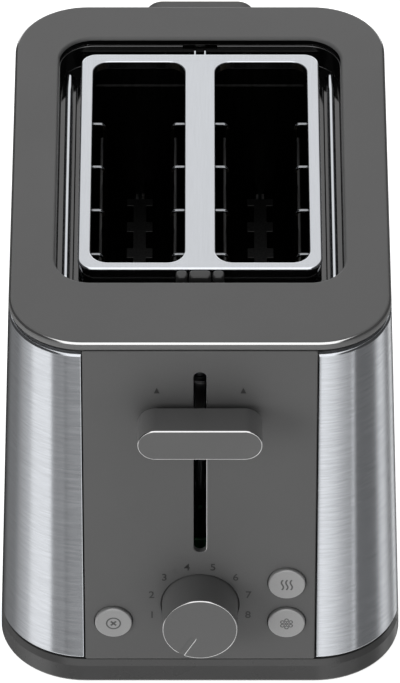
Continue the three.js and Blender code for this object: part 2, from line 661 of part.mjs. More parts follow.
// An involute pinion about Y, with a tooth gap facing each rack's tooth.
function makePinion() {
  const { module: size, teeth, z, y0, y1 } = GEAR;
  const pitchR = (size * teeth) / 2;
  const baseR = pitchR * Math.cos(THREE.MathUtils.degToRad(20));
  const involute = (r) => {
    const a = Math.sqrt(Math.max((r / baseR) ** 2 - 1, 0));
    return a - Math.atan(a);
  };
  const halfAtPitch = Math.PI / (2 * teeth) - 0.12 / pitchR;
  const radii = [pitchR - 1.1 * size, baseR, pitchR + 0.2 * size, pitchR + 0.8 * size];
  const points = [];
  for (let i = 0; i < teeth; i += 1) {
    const centre = (2 * Math.PI * (i + 0.5)) / teeth;
    const halfAt = (r) => halfAtPitch + involute(pitchR) - involute(Math.max(r, baseR));
    const flankPoint = (r, way) => {
      const angle = centre + way * halfAt(r);
      return [r * Math.cos(angle), r * Math.sin(angle)];
    };
    points.push(...radii.map((r) => flankPoint(r, -1)));
    points.push(...radii.toReversed().map((r) => flankPoint(r, 1)));
  }
  const wheel = prism(points, -y1, -y0).rotateX(Math.PI / 2);
  const shaft = new THREE.CylinderGeometry(3, 3, 6.5, 16).translate(0, y1 + 2.75, 0);
  return join(wheel, shaft).translate(0, 0, z);
}

const PITCH_R = (GEAR.module * GEAR.teeth) / 2;

// The toothed bar at the pinion's left, its head and the arm to the rear knob.
function makeRackSlider() {
  const head = RACK_LEVER.z + ARM.halfZ;
  const bar = rackBar(-PITCH_R, 1, GEAR.z - 6, head - 1, GEAR.z);
  const bridge = box([-12, GEAR.y0, RACK_LEVER.z - ARM.halfZ], [ARM.halfX, GEAR.y1, head]);
  const arm = box(
    [-ARM.halfX, GEAR.y0, RACK_LEVER.z - ARM.halfZ],
    [ARM.halfX, endY(RACK_LEVER.z) + KNOB.back + 7, head],
  );
  return join(bar, bridge, arm);
}

// The toothed bar at the pinion's right, on the bar that both sides of the rack stand on.
function makeRackCrossbar() {
  const beam = box([-CROSSBAR.halfX, CROSSBAR.y0, CROSSBAR.z0], [CROSSBAR.halfX, CROSSBAR.y1, CROSSBAR.z1]);
  const bar = rackBar(PITCH_R, -1, GEAR.z - RACK_LEVER.down - 6, GEAR.z + 6, GEAR.z);
  const root = box([PITCH_R + 1.2, CROSSBAR.y0, CROSSBAR.z0], [PITCH_R + 5, GEAR.y0 + 1, CROSSBAR.z1 + 6]);
  return join(beam, bar, root);
}

// ---------- crumb tray ----------

function makeCrumbTray() {
  const { halfX, front, back, bottom, top, sheet } = TRAY;
  return cut(
    box([-halfX, front, bottom], [halfX, back, top]),
    box([-halfX + sheet, front + sheet, bottom + sheet], [halfX - sheet, back - sheet, top + 1]),
  );
}

function makeCrumbTrayHandle() {
  const skin = body([[BASE.floor + FIT, 0.4], [BASE.crease, 0.2], [BASE.top - 0.2, BASE.ledge + 0.2]]);
  const block = common(skin, box([-49.9, TRAY.back + FIT, 0], [49.9, 150, BASE.top]));
  return cut(block, box([-24, TRAY.back + 3, 0], [24, 150, 8]));
}

// ---------- assembly ----------

function screwPlaces() {
  return SCREW_YS.flatMap((y) => [[-SCREW_X, y], [SCREW_X, y]]);
}

function footPlaces() {
  return [-FOOT.y, FOOT.y].flatMap((y) => [[-FOOT.x, y], [FOOT.x, y]]);
}

const toaster = new THREE.Group();

function add(name, geometry, look, x = 0, y = 0) {
  geometry.computeVertexNormals();
  const mesh = new THREE.Mesh(geometry, new THREE.MeshStandardMaterial(look));
  mesh.name = name;
  mesh.position.set(x, y, 0);
  toaster.add(mesh);
}

// The rear knob stands as far back as the dial stands forward, so the origin is under the middle.
const dialFront = endY(DIAL.z) + DIAL.proud / Math.cos(DRAFT) + (DIAL.radius - 1.8) * Math.sin(DRAFT);
const rearProud = dialFront - endY(RACK_LEVER.z - KNOB.halfY + 1.6);

add('base', makeBase(), GREY_PLASTIC);
footPlaces().forEach(([x, y], i) => add(`foot_${i + 1}`, makeFoot(), RUBBER, x, y));
screwPlaces().forEach(([x, y], i) => add(`base_screw_${i + 1}`, makeBaseScrew(), PLATED_STEEL, x, y));
add('left_side_shell', makeSideShell(-1), BRUSHED_STEEL);
add('right_side_shell', makeSideShell(1), BRUSHED_STEEL);
add('front_panel', makeFrontPanel(), GREY_PLASTIC);
add('rear_panel', makeRearPanel(), GREY_PLASTIC);
add('top_cover', makeTopCover(), GREY_PLASTIC);
add('warmer_well', makeWell(), BLACK_GLOSS);
add('slot_plate', makeSlotPlate(), POLISHED_STEEL);
add('plate_clip', makePlateClip(), GREY_PLASTIC);
add('front_chassis_plate', makeChassisPlate(-1), PLATED_STEEL);
add('rear_chassis_plate', makeChassisPlate(1), PLATED_STEEL);
add('left_reflector', makeReflector(-1), PLATED_STEEL);
add('right_reflector', makeReflector(1), PLATED_STEEL);
add('left_heater', makeHeater(-HEATER.outerX), MICA);
add('centre_heater', makeHeater(0), MICA);
add('right_heater', makeHeater(HEATER.outerX), MICA);
add('guide_rod', post(0, ROD.y, 6.3, 189.6, ROD.radius), PLATED_STEEL);
add('magnet_core', makeMagnetCore(), DARK_STEEL);
add('magnet_coil', makeMagnetCoil(), COPPER);
add('control_board', makeControlBoard(), BOARD_GREEN);
add('dial_potentiometer', makeDialPotentiometer(), DARK_STEEL);
add('cord_gland', makeCordGland(), RUBBER);

add('lift_carriage', makeCarriage(), PLATED_STEEL);
add('lift_lever_knob', makeLeverKnob(faceFront, LIFT_LEVER.z, KNOB.halfX, KNOB.proud), GREY_PLASTIC);
add('left_bread_carrier', makeCarrier(-1), DARK_STEEL);
add('right_bread_carrier', makeCarrier(1), DARK_STEEL);
add('magnet_armature', makeArmature(), PLATED_STEEL);
add('lift_spring', makeLiftSpring(), PLATED_STEEL);

add('left_outer_guide', makeGuide(-GUIDE.far, -1), DARK_STEEL);
add('left_inner_guide', makeGuide(-GUIDE.near, 1), DARK_STEEL);
add('right_inner_guide', makeGuide(GUIDE.near, -1), DARK_STEEL);
add('right_outer_guide', makeGuide(GUIDE.far, 1), DARK_STEEL);

add('rack_lever_knob', makeLeverKnob(faceRear, RACK_LEVER.z, KNOB.rearHalfX, rearProud), GREY_PLASTIC);
add('rack_slider', makeRackSlider(), WHITE_PLASTIC);
add('rack_pinion', makePinion(), WHITE_PLASTIC);
add('rack_crossbar', makeRackCrossbar(), WHITE_PLASTIC);
add('left_rack', makeRackSide(-1), POLISHED_STEEL);
add('right_rack', makeRackSide(1), POLISHED_STEEL);

add('dial_knob', makeDialKnob(), GREY_PLASTIC);
add('dial_shaft', dialShaft(), PLATED_STEEL);
for (const [name, centre] of Object.entries(BUTTON_CENTRES)) {
  add(`${name}_button`, makeButton(centre), BUTTON_PLASTIC);
  add(`${name}_switch`, makeSwitch(centre), DARK_STEEL);
}

add('crumb_tray', makeCrumbTray(), PLATED_STEEL);
add('crumb_tray_handle', makeCrumbTrayHandle(), GREY_PLASTIC);

export default toaster;
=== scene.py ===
"""Two-slot pop-up toaster: the looks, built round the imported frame.

Shapes are drawn in millimetres in the frame's axes and scaled to metres when their mesh is made.
"""

from math import asin, cos, pi, radians, sin, sqrt, tan

import bmesh
import bpy
from mathutils import Matrix, Vector
from mathutils.geometry import tessellate_polygon


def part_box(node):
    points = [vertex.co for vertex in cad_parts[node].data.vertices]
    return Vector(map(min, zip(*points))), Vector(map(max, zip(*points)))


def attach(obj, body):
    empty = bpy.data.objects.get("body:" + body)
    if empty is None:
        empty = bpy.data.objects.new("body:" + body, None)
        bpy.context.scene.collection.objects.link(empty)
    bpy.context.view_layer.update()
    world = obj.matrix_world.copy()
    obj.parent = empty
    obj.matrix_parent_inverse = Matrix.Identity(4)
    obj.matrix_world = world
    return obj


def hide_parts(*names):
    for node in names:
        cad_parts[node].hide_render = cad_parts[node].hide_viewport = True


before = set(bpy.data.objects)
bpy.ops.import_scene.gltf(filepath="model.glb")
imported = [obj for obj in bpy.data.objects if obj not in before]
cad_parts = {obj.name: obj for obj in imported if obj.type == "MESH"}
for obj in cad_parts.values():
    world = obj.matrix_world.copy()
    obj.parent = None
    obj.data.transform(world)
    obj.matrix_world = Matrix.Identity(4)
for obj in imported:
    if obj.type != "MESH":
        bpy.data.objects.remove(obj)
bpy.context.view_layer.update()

MM = 0.001
TURN = 2 * pi
ON_AXIS = 1e-6  # a smaller radius in a turned profile is a point on the axis


def corners_mm(node):
    """A CAD node's lowest and highest corners, in millimetres."""
    return [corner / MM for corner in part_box(node)]


# --- the frame's driving dimensions, in millimetres ---

DRAFT = radians(1.85)  # the walls lean out downwards
TOP_Z = corners_mm("top_cover")[1].z
BODY = (85, 121.5, 33)  # half width, half depth and corner radius at the top
OPENING = (64.75, 87.85, 16)  # the same three for the cover's opening, the plate and its slots
OPENING_CENTRE = (0, 9.05)
PLATE = (54.7, 77.55, 7)
SLOT = (21.08, 72.35, 8)
SLOT_X, SLOT_Y = 27.98, 8.35
SEAM_X = 52.6  # where the side shells start
PANEL_HALF = 52.2
PANEL_Z = (13.7, 192.4)  # lowest and highest
PANEL_FACE, PANEL_BACK = -0.2, -3.2  # measured out from the drafted face
GROOVE_HALF, GROOVE_EDGE = 2.8, 0.45  # half the width of a lever's groove, and its rounded edge
FRONT_GROOVE_Z, REAR_GROOVE_Z = (77.0, 180.4), (136.8, 180.2)
KNOB_HALF_Y = 8.1
LIFT_KNOB_Z, RACK_KNOB_Z = 155.2, 173.6
DIAL_Z = 46.3
DIAL_RADIUS = 17.3
DIAL_PROUD = 17.6
POINTER_DEG = 240
BUTTONS = {"stop": (-39.2, 36.6), "reheat": (39.2, 59.3), "defrost": (39.2, 36.3)}  # x and z
BUTTON_RADIUS = 8.4
BUTTON_PROUD = 1.6
GLAND = (36, 28)  # x and z
LIFT_ROD, LIFT_SPRING = (0, -98), (-14, -98)  # plan positions
ROD_X, ROD_RADIUS, ROD_LEGS = 60.15, 1.75, (-67, 86)  # the bun rack's rods and where their legs stand
GUIDES = {  # x of the uprights, and the side their tops bend to
    "left_outer_guide": (-43.65, -1),
    "left_inner_guide": (-12.65, 1),
    "right_inner_guide": (12.65, -1),
    "right_outer_guide": (43.65, 1),
}
GUIDE_YS = [3.8 + 31.3 * (i - 1.5) for i in range(4)]
HEATERS = ["left_heater", "centre_heater", "right_heater"]
BASE_FLOOR, BASE_UNDER = 4.5, 0.7
CAMERA_PLACE, CAMERA_TILT = (0, -2.75916, 2.42715), radians(49.8)  # in metres
CAMERA_LENS = 413.3


def spread(z):
    """How far the drafted body has grown at the height z."""
    return (TOP_Z - z) * tan(DRAFT)


def up_face(z):
    """Distance up an end panel's face of the height z, from the top."""
    return (z - TOP_Z) / cos(DRAFT)


FACE_FRONT = Matrix.Translation((0, -BODY[1], TOP_Z)) @ Matrix.Rotation(pi / 2 - DRAFT, 4, "X")
FACE_REAR = Matrix.Rotation(pi, 4, "Z") @ FACE_FRONT


def on_face(face, x, z):
    """Where a shape drawn about the origin goes on an end panel's face."""
    return face @ Matrix.Translation((x, up_face(z), 0))


# --- outlines and profiles ---


def rounded_rect(half_x, half_y, radius, steps, centre=(0, 0)):
    """Points and outward normals round a rounded rectangle, anticlockwise."""
    loop = []
    for corner in range(4):
        side_x = 1 if corner in (0, 3) else -1
        side_y = 1 if corner < 2 else -1
        middle = Vector((centre[0] + side_x * (half_x - radius), centre[1] + side_y * (half_y - radius)))
        for i in range(steps + 1):
            angle = (corner + i / steps) * pi / 2
            normal = Vector((cos(angle), sin(angle)))
            loop.append((middle + radius * normal, normal))
    return loop


def circle(radius, sides, centre=(0, 0)):
    loop = []
    for i in range(sides):
        normal = Vector((cos(TURN * i / sides), sin(TURN * i / sides)))
        loop.append((Vector(centre) + radius * normal, normal))
    return loop


def hole(loop):
    """The same outline as the edge of a hole, so that its normals point into the hole."""
    return [(point, -normal) for point, normal in loop]


def ring_at(loop, offset, z):
    """An outline grown by the offset, at the height z."""
    return [Vector((*(point + offset * normal), z)) for point, normal in loop]


def arc_points(before, corner, after, radius, steps):
    """The corner of a path as an arc that touches both its sides."""
    to_before = (before - corner).normalized()
    to_after = (after - corner).normalized()
    half = to_before.angle(to_after) / 2
    middle = corner + (to_before + to_after).normalized() * radius / sin(half)
    start = corner + to_before * radius / tan(half) - middle
    end = corner + to_after * radius / tan(half) - middle
    sweep = start.angle(end)
    across = (end - start * cos(sweep)) / sin(sweep)
    angles = [sweep * i / steps for i in range(steps + 1)]
    return [middle + start * cos(angle) + across * sin(angle) for angle in angles]


def filleted(corners, steps, closed=False):
    """A profile from corners (u, v, fillet radius). An open one keeps its two ends."""
    points = [Vector(corner[:2]) for corner in corners]
    radii = [corner[2] if len(corner) > 2 else 0 for corner in corners]
    profile = []
    for i, point in enumerate(points):
        at_end = not closed and i in (0, len(points) - 1)
        if radii[i] and not at_end:
            after = points[(i + 1) % len(points)]
            profile += arc_points(points[i - 1], point, after, radii[i], steps)
        else:
            profile.append(point)
    return profile


def edge_profile(corners, steps):
    """A sheet's edge from corners (offset, z, fillet), met square by the faces at both its ends."""
    before = (corners[0][0] - 1, corners[0][1])
    after = (corners[-1][0] - 1, corners[-1][1])
    return filleted([before, *corners, after], steps)[1:-1]


def body_profile(corners, steps):
    """Corners (inset, z, fillet) from the drafted body as (offset, z) points."""
    return [(spread(z) - inset, z) for inset, z in filleted(corners, steps)]


def bent(corners, radius, steps=8):
    """A wire's path with each inner corner bent to the radius."""
    points = [Vector(corner) for corner in corners]
    path = [points[0]]
    for before, point, after in zip(points, points[1:], points[2:]):
        path += arc_points(before, point, after, radius, steps)
    return path + [points[-1]]


# --- shapes ---


class Shape:
    """Vertices in millimetres and faces, with each face's material number."""

    def __init__(self):
        self.points = []
        self.faces = []
        self.looks = []

    def ring(self, points):
        first = len(self.points)
        self.points += [Vector(point) for point in points]
        return list(range(first, len(self.points)))

    def face(self, indices, look=0):
        self.faces.append(list(indices))
        self.looks.append(look)

    def strip(self, low, high, look=0):
        """Quads between two closed rings of the same length."""
        for i in range(len(low)):
            j = (i + 1) % len(low)
            self.face([low[i], low[j], high[j], high[i]], look)

    def skin(self, rings, look=0):
        for low, high in zip(rings, rings[1:]):
            self.strip(low, high, look)

    def solid(self, rings, look=0):
        """A skin with its two end rings closed."""
        self.skin(rings, look)
        self.face(rings[0], look)
        self.face(rings[-1], look)

    def fill(self, rings):
        """A flat face with an outer ring and any number of holes."""
        flat = [index for ring in rings for index in ring]
        loops = [[self.points[index] for index in ring] for ring in rings]
        for triangle in tessellate_polygon(loops):
            self.face([flat[i] for i in triangle])

    def moved(self, matrix):
        self.points = [matrix @ point for point in self.points]
        return self


def block(shape, low, high, radius=0.4, edge=0.3, look=0, steps=3):
    """A box with rounded upright edges and softened top and bottom edges."""
    half = [(high[i] - low[i]) / 2 for i in range(2)]
    centre = [(high[i] + low[i]) / 2 for i in range(2)]
    loop = rounded_rect(*half, radius, steps, centre)
    profile = edge_profile([(0, low[2], edge), (0, high[2], edge)], 3)
    rings = [shape.ring(ring_at(loop, offset, z)) for offset, z in profile]
    shape.solid(rings, look)


def lathe(shape, profile, sides, look_at=None, closed=False):
    """A solid of revolution about Z. The profile is (radius, z) points, and `look_at` may give the
    material number of each step along it.
    """
    rings = []
    for radius, z in profile:
        if radius < ON_AXIS:
            rings.append(shape.ring([(0, 0, z)]))
        else:
            rings.append(shape.ring(ring_at(circle(1, sides), radius - 1, z)))
    if closed:
        rings.append(rings[0])
    for number, (low, high) in enumerate(zip(rings, rings[1:])):
        skin = look_at(number) if look_at else 0
        if len(low) > 1 and len(high) > 1:
            shape.strip(low, high, skin)
        else:
            tip, edge = (low[0], high) if len(low) == 1 else (high[0], low)
            for i in range(sides):
                shape.face([tip, edge[i], edge[(i + 1) % sides]], skin)


# A bar's softened end: the size of each ring and its distance from the end, as shares of the radius.
SOFT_END = [(0.72, 0), (0.93, 0.12), (1, 0.35)]


def tube(shape, path, radius, sides, look=0):
    """A round bar along a path, with softened ends. Its rings don't twist."""
    path = [Vector(point) for point in path]
    last = len(path) - 1
    angles = [TURN * i / sides for i in range(sides)]
    rings = []
    side = (path[1] - path[0]).orthogonal()
    for i, point in enumerate(path):
        ahead = (path[min(i + 1, last)] - point).normalized()
        behind = (point - path[max(i - 1, 0)]).normalized()
        tangent = (ahead + behind).normalized()
        side = (side - side.dot(tangent) * tangent).normalized()
        up = tangent.cross(side)
        sections = [(1, 0)]
        if i == 0:
            sections = SOFT_END
        elif i == last:
            sections = [(size, -shift) for size, shift in reversed(SOFT_END)]
        for size, shift in sections:
            middle = point + shift * radius * tangent
            around = [cos(angle) * side + sin(angle) * up for angle in angles]
            rings.append(shape.ring(middle + size * radius * out for out in around))
    shape.solid(rings, look)


def plate(shape, loop, profile, openings, look_at=None):
    """A sheet with a front and a back face. Its edge follows the profile of (offset, z) points
    from the front to the back, and `look_at` may give the material number of each step along it.
    Each opening is (loop, profile, kind): "both" goes right through, and "front" and "back" are
    blind ones that start at that face.
    """
    fronts, backs = [], []
    holes = [(hole(edge), line, kind) for edge, line, kind in openings]
    for edge, line, kind in [(loop, profile, "both"), *holes]:
        rings = [shape.ring(ring_at(edge, offset, z)) for offset, z in line]
        for number, (low, high) in enumerate(zip(rings, rings[1:])):
            shape.strip(low, high, look_at(number) if look_at and edge is loop else 0)
        if kind == "both":
            fronts.append(rings[0])
            backs.append(rings[-1])
        else:
            (fronts if kind == "front" else backs).append(rings[0])
            shape.face(rings[-1])
    shape.fill(fronts)
    shape.fill(backs)


# --- pieces ---


def into_scene(name, data):
    thing = bpy.data.objects.new(name, data)
    bpy.context.scene.collection.objects.link(thing)
    return thing


def make_object(name, shape, looks):
    """A mesh object in metres, with doubled points joined and its faces turned outwards."""
    mesh = bpy.data.meshes.new(name)
    mesh.from_pydata([point * MM for point in shape.points], [], shape.faces)
    for look in looks:
        mesh.materials.append(look)
    mesh.polygons.foreach_set("material_index", shape.looks)
    tidy = bmesh.new()
    tidy.from_mesh(mesh)
    bmesh.ops.remove_doubles(tidy, verts=tidy.verts, dist=1e-7)
    bmesh.ops.recalc_face_normals(tidy, faces=tidy.faces)
    tidy.to_mesh(mesh)
    tidy.free()
    return into_scene(name, mesh)


def smooth(thing, sharp_deg):
    thing.data.shade_smooth()
    thing.data.set_sharp_from_angle(angle=radians(sharp_deg))
    normals = thing.modifiers.new("even_normals", "WEIGHTED_NORMAL")
    normals.keep_sharp = True
    normals.weight = 80


def shown_mesh(thing):
    """A new mesh of an object as its modifiers leave it."""
    bpy.context.view_layer.update()
    return bpy.data.meshes.new_from_object(thing.evaluated_get(bpy.context.evaluated_depsgraph_get()))


def cut_away(thing, cutter_shape):
    """Cuts a closed shape out of a piece and keeps only the result."""
    cutter = make_object("cutter", cutter_shape, list(thing.data.materials))
    cut = thing.modifiers.new("cut", "BOOLEAN")
    cut.operation = "DIFFERENCE"
    cut.solver = "EXACT"
    cut.object = cutter
    result = shown_mesh(thing)
    thing.modifiers.clear()
    result.name = thing.name
    thing.data = result
    bpy.data.objects.remove(cutter)


def bevel(thing, width, segments=2, angle_deg=40):
    """Softens the sharp edges by a width in millimetres."""
    soft = thing.modifiers.new("soft_edges", "BEVEL")
    soft.width = width * MM
    soft.segments = segments
    soft.limit_method = "ANGLE"
    soft.angle_limit = radians(angle_deg)
    soft.use_clamp_overlap = True


def piece(name, shape, looks, nodes=(), body="housing", cuts=(), edge=None, sharp_deg=32):
    """A finished piece that rides on a body and stands for the CAD nodes."""
    looks = looks if isinstance(looks, list) else [looks]
    thing = make_object(name, shape, looks)
    for cutter in cuts:
        cut_away(thing, cutter)
    if edge:
        bevel(thing, edge)
    smooth(thing, sharp_deg)
    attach(thing, body)
    if nodes:
        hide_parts(*nodes)


# --- materials ---


class Graph:
    """A node tree with short ways to add to it."""

    def __init__(self, tree):
        self.nodes = tree.nodes
        self.links = tree.links

    def feed(self, socket, value):
        """Sets a socket to a number or a colour, or links it to another node's output."""
        if isinstance(value, tuple):
            socket.default_value = (*value, 1)
        elif isinstance(value, (int, float)):
            socket.default_value = value
        else:
            self.links.new(value, socket)

    def mix(self, share, first, second):
        """A colour between two colours."""
        mix = self.nodes.new("ShaderNodeMix")
        mix.data_type = "RGBA"
        self.feed(mix.inputs["Factor"], share)
        for number, color in ((6, first), (7, second)):  # the node's two colour sockets
            self.feed(mix.inputs[number], color)
        return mix.outputs[2]


class Paint(Graph):
    """A procedural material on the Principled shader, in the frame's metres."""

    def __init__(self, name, roughness, metallic=0.0, **sockets):
        self.material = bpy.data.materials.new(name)
        self.material.use_nodes = True
        super().__init__(self.material.node_tree)
        self.shader = self.nodes["Principled BSDF"]
        for socket, value in {"Roughness": roughness, "Metallic": metallic, **sockets}.items():
            self.shader.inputs[socket.replace("_", " ")].default_value = value
        self.place = self.nodes.new("ShaderNodeTexCoord").outputs["Object"]

    def noise(self, scale, detail, stretch=None):
        noise = self.nodes.new("ShaderNodeTexNoise")
        noise.inputs["Scale"].default_value = scale
        noise.inputs["Detail"].default_value = detail
        source = self.place
        if stretch:
            mapping = self.nodes.new("ShaderNodeMapping")
            mapping.inputs["Scale"].default_value = stretch
            self.links.new(self.place, mapping.inputs["Vector"])
            source = mapping.outputs["Vector"]
        self.links.new(source, noise.inputs["Vector"])
        return noise.outputs["Fac"]

    def waves(self, scale, direction, distortion=0.0):
        wave = self.nodes.new("ShaderNodeTexWave")
        wave.bands_direction = direction
        wave.inputs["Scale"].default_value = scale
        wave.inputs["Distortion"].default_value = distortion
        self.links.new(self.place, wave.inputs["Vector"])
        return wave.outputs["Fac"]

    def span(self, value, low, high, start=0.3, end=0.7):
        """The value between start and end, spread from low to high."""
        spanned = self.nodes.new("ShaderNodeMapRange")
        for socket, number in zip(spanned.inputs[1:5], (start, end, low, high)):
            socket.default_value = number
        self.links.new(value, spanned.inputs["Value"])
        return spanned.outputs["Result"]

    def color(self, share, first, second):
        self.links.new(self.mix(share, first, second), self.shader.inputs["Base Color"])

    def rough(self, value, low, high):
        self.links.new(self.span(value, low, high), self.shader.inputs["Roughness"])

    def bump(self, *heights):
        """Bumps one on another from (height, depth in millimetres) pairs."""
        below = None
        for height, depth in heights:
            bump = self.nodes.new("ShaderNodeBump")
            bump.inputs["Distance"].default_value = depth * MM
            self.links.new(height, bump.inputs["Height"])
            if below:
                self.links.new(below, bump.inputs["Normal"])
            below = bump.outputs["Normal"]
        self.links.new(below, self.shader.inputs["Normal"])


def grey(value):
    """A neutral colour from its sRGB level out of 255."""
    level = value / 255
    linear = level / 12.92 if level < 0.04045 else ((level + 0.055) / 1.055) ** 2.4
    return (linear, linear, linear)


def tint(value):
    """The same grey, a little cooler."""
    level = grey(value)[0]
    return (0.97 * level, level, 1.05 * level)


def moulded(name, low, high, roughness, grain=0.012, **sockets):
    """Moulded plastic between two grey levels, with fine spark-eroded grain and lighter worn edges."""
    paint = Paint(name, roughness, **sockets)
    low, high = grey(low), grey(high)
    cloud = paint.noise(22, 3)
    speck = paint.noise(2600, 2)
    base = paint.mix(paint.span(cloud, 0, 1), low, high)
    lighter = tuple(min(1.0, 1.3 * c) for c in high)
    base = paint.mix(paint.span(speck, 0, 0.22), base, lighter)
    pointiness = paint.nodes.new("ShaderNodeNewGeometry").outputs["Pointiness"]
    paint.color(paint.span(pointiness, 0, 0.5, 0.53, 0.62), base, lighter)
    paint.rough(paint.noise(90, 4), roughness - 0.012, roughness + 0.015)
    paint.bump((speck, grain), (paint.noise(700, 2), grain * 1.6))
    return paint.material


def sheet_steel(name, low, high, roughness, streak, along, anisotropic=0.0, rotation=0.0):
    """Sheet or wire steel with fine streaks that run where `along` is small."""
    paint = Paint(name, roughness, 1.0, Anisotropic=anisotropic, Anisotropic_Rotation=rotation)
    fine = paint.noise(1, 3, along)
    broad = paint.noise(1, 2, tuple(0.3 * s for s in along))
    smudge = paint.noise(14, 3)
    base = paint.mix(paint.span(fine, 0, 1, 0.32, 0.68), low, high)
    paint.color(paint.span(smudge, 0, 0.35), base, high)
    paint.rough(broad, roughness - 0.02, roughness + 0.03)
    paint.bump((fine, streak), (broad, streak * 0.5))
    if anisotropic:
        tangent = paint.nodes.new("ShaderNodeTangent")
        tangent.direction_type = "RADIAL"
        tangent.axis = "Z"
        paint.links.new(tangent.outputs["Tangent"], paint.shader.inputs["Tangent"])
    return paint.material


GREY_PLASTIC = moulded("grey_plastic", 92, 95, 0.42, Specular_IOR_Level=0.42)
# Painted shade: the next three are darker copies of the grey plastic, for the shade on the end panels, on the
# base, rails, tray handle and plate clip, and on the knobs and dial.
PANEL_PLASTIC_PAINTED_SHADE = moulded("panel_plastic_painted_shade", 77, 80, 0.42, Specular_IOR_Level=0.42)
BASE_PLASTIC_PAINTED_SHADE = moulded("base_plastic_painted_shade", 55, 59, 0.28, 0.006, Specular_IOR_Level=0.5)
KNOB_PLASTIC_PAINTED_SHADE = moulded("knob_plastic_painted_shade", 84, 87, 0.36, 0.006, Specular_IOR_Level=0.45)
# Painted highlight: a bright mirror metal put on the strips of plastic edges that catch the light, standing
# in for their highlights.
PAINTED_EDGE_HIGHLIGHT = moulded("painted_edge_highlight", 222, 230, 0.12, 0.001, Metallic=1.0)
BUTTON_PLASTIC = moulded("button_plastic", 150, 156, 0.34, 0.005, Metallic=0.45)
ENAMEL = moulded("black_enamel", 6, 10, 0.07, 0.001, IOR=2.15)
RUBBER = moulded("rubber", 22, 30, 0.8, 0.05)
DARK_PLASTIC = moulded("dark_plastic", 24, 32, 0.45, 0.02)
WHITE_PLASTIC = moulded("white_plastic", 206, 214, 0.42, 0.01)
MARK_INK = moulded("mark_ink", 27, 33, 0.5, 0.002)
ICON_INK = moulded("icon_ink", 66, 72, 0.45, 0.002)
BRUSHED_STEEL = sheet_steel(
    "brushed_steel", tint(209), tint(223), 0.19, 0.0006, (110, 110, 1300), anisotropic=0.85, rotation=0.25
)
POLISHED_STEEL = sheet_steel("polished_steel", tint(224), tint(228), 0.18, 0.0001, (2400, 60, 60))
CHROME = sheet_steel("chrome_wire", tint(232), tint(240), 0.08, 0.0002, (900, 60, 900))
GUIDE_STEEL = sheet_steel("guide_wire", tint(136), tint(156), 0.12, 0.0003, (900, 900, 60))
DARK_STEEL = sheet_steel("dark_steel", grey(50), grey(68), 0.42, 0.002, (900, 900, 60))
# Painted shade: steel for the parts inside the toasting chamber, darkened for the shade that falls there.
CHAMBER_STEEL_PAINTED_SHADE = sheet_steel("chamber_steel_painted_shade", grey(36), grey(52), 0.34, 0.001, (400, 60, 60))
PLATED_STEEL = sheet_steel("plated_steel", grey(140), grey(168), 0.4, 0.0015, (400, 60, 60))


def make_mica():
    paint = Paint("mica", 0.6)
    flakes = paint.noise(160, 5, (1, 1, 2.5))
    paint.color(paint.span(flakes, 0, 1, 0.35, 0.65), (0.05, 0.04, 0.025), (0.12, 0.1, 0.07))
    paint.rough(flakes, 0.35, 0.75)
    paint.bump((flakes, 0.03))
    return paint.material


def make_board():
    paint = Paint("board_green", 0.45)
    tracks = paint.span(paint.waves(90, "X", 6.0), 0, 1, 0.55, 0.6)
    paint.color(tracks, (0.006, 0.04, 0.015), (0.01, 0.08, 0.028))
    paint.rough(paint.noise(300, 3), 0.35, 0.55)
    paint.bump((tracks, 0.02), (paint.noise(900, 2), 0.01))
    return paint.material


def make_copper():
    paint = Paint("copper_winding", 0.35, 0.9)
    turns = paint.waves(420, "Z")
    paint.color(paint.span(turns, 0, 1, 0.1, 0.6), (0.12, 0.035, 0.012), (0.52, 0.2, 0.075))
    paint.rough(paint.noise(200, 3), 0.28, 0.45)
    paint.bump((turns, 0.12))
    return paint.material


def make_ribbon_metal():
    paint = Paint("heater_ribbon", 0.5, 0.8)
    heat = paint.noise(40, 3)
    paint.color(paint.span(heat, 0, 1), (0.04, 0.036, 0.034), (0.12, 0.1, 0.09))
    paint.rough(paint.noise(500, 2), 0.4, 0.6)
    paint.bump((paint.noise(1500, 2), 0.004))
    return paint.material


MICA = make_mica()
BOARD_GREEN = make_board()
COPPER = make_copper()
RIBBON_METAL = make_ribbon_metal()


# --- casing ---


def make_cover():
    """The top frame round the opening, with the sockets of the lift's rod and spring under it."""
    steps, under, skirt = 6, 193, 184
    body = rounded_rect(*BODY, 20)
    opening = hole(rounded_rect(*OPENING, 20, OPENING_CENTRE))
    outer = body_profile([
        (5.4, under), (5.4, skirt), (3.4, skirt), (3.4, under), (0, under, 0.9), (0, TOP_Z, 1.9), (30, TOP_Z),
    ], steps)[:-1]
    inner = edge_profile([(0, TOP_Z, 1.4), (0, under, 0.4)], steps)
    shape = Shape()
    rings = [shape.ring(ring_at(body, offset, z)) for offset, z in outer]
    rings += [shape.ring(ring_at(opening, offset, z)) for offset, z in inner]
    rings.append(rings[0])
    # Painted highlight: the two middle strips of the rounded outer edge get the bright edge metal where the
    # light catches them.
    middle = len(outer) - 1 - steps // 2  # of the rounded outer edge, which catches the light
    # Painted shade: the opening's upright wall is grey plastic in shade, drawn in the black gloss enamel.
    wall = len(outer) + steps  # the opening's upright wall
    strip_looks = {middle - 1: 1, middle: 1, wall: 2, wall + 1: 2}
    for number, (low, high) in enumerate(zip(rings, rings[1:])):
        shape.strip(low, high, strip_looks.get(number, 0))
    for (x, y), half, low in ((LIFT_ROD, 5.5, 184.2), (LIFT_SPRING, 3.8, 183.4)):
        block(shape, (x - half, y - half, low), (x + half, y + half, under + 0.4), 1.2)
    looks = [GREY_PLASTIC, PAINTED_EDGE_HIGHLIGHT, ENAMEL]
    piece("cover_shell", shape, looks, ["top_cover"])


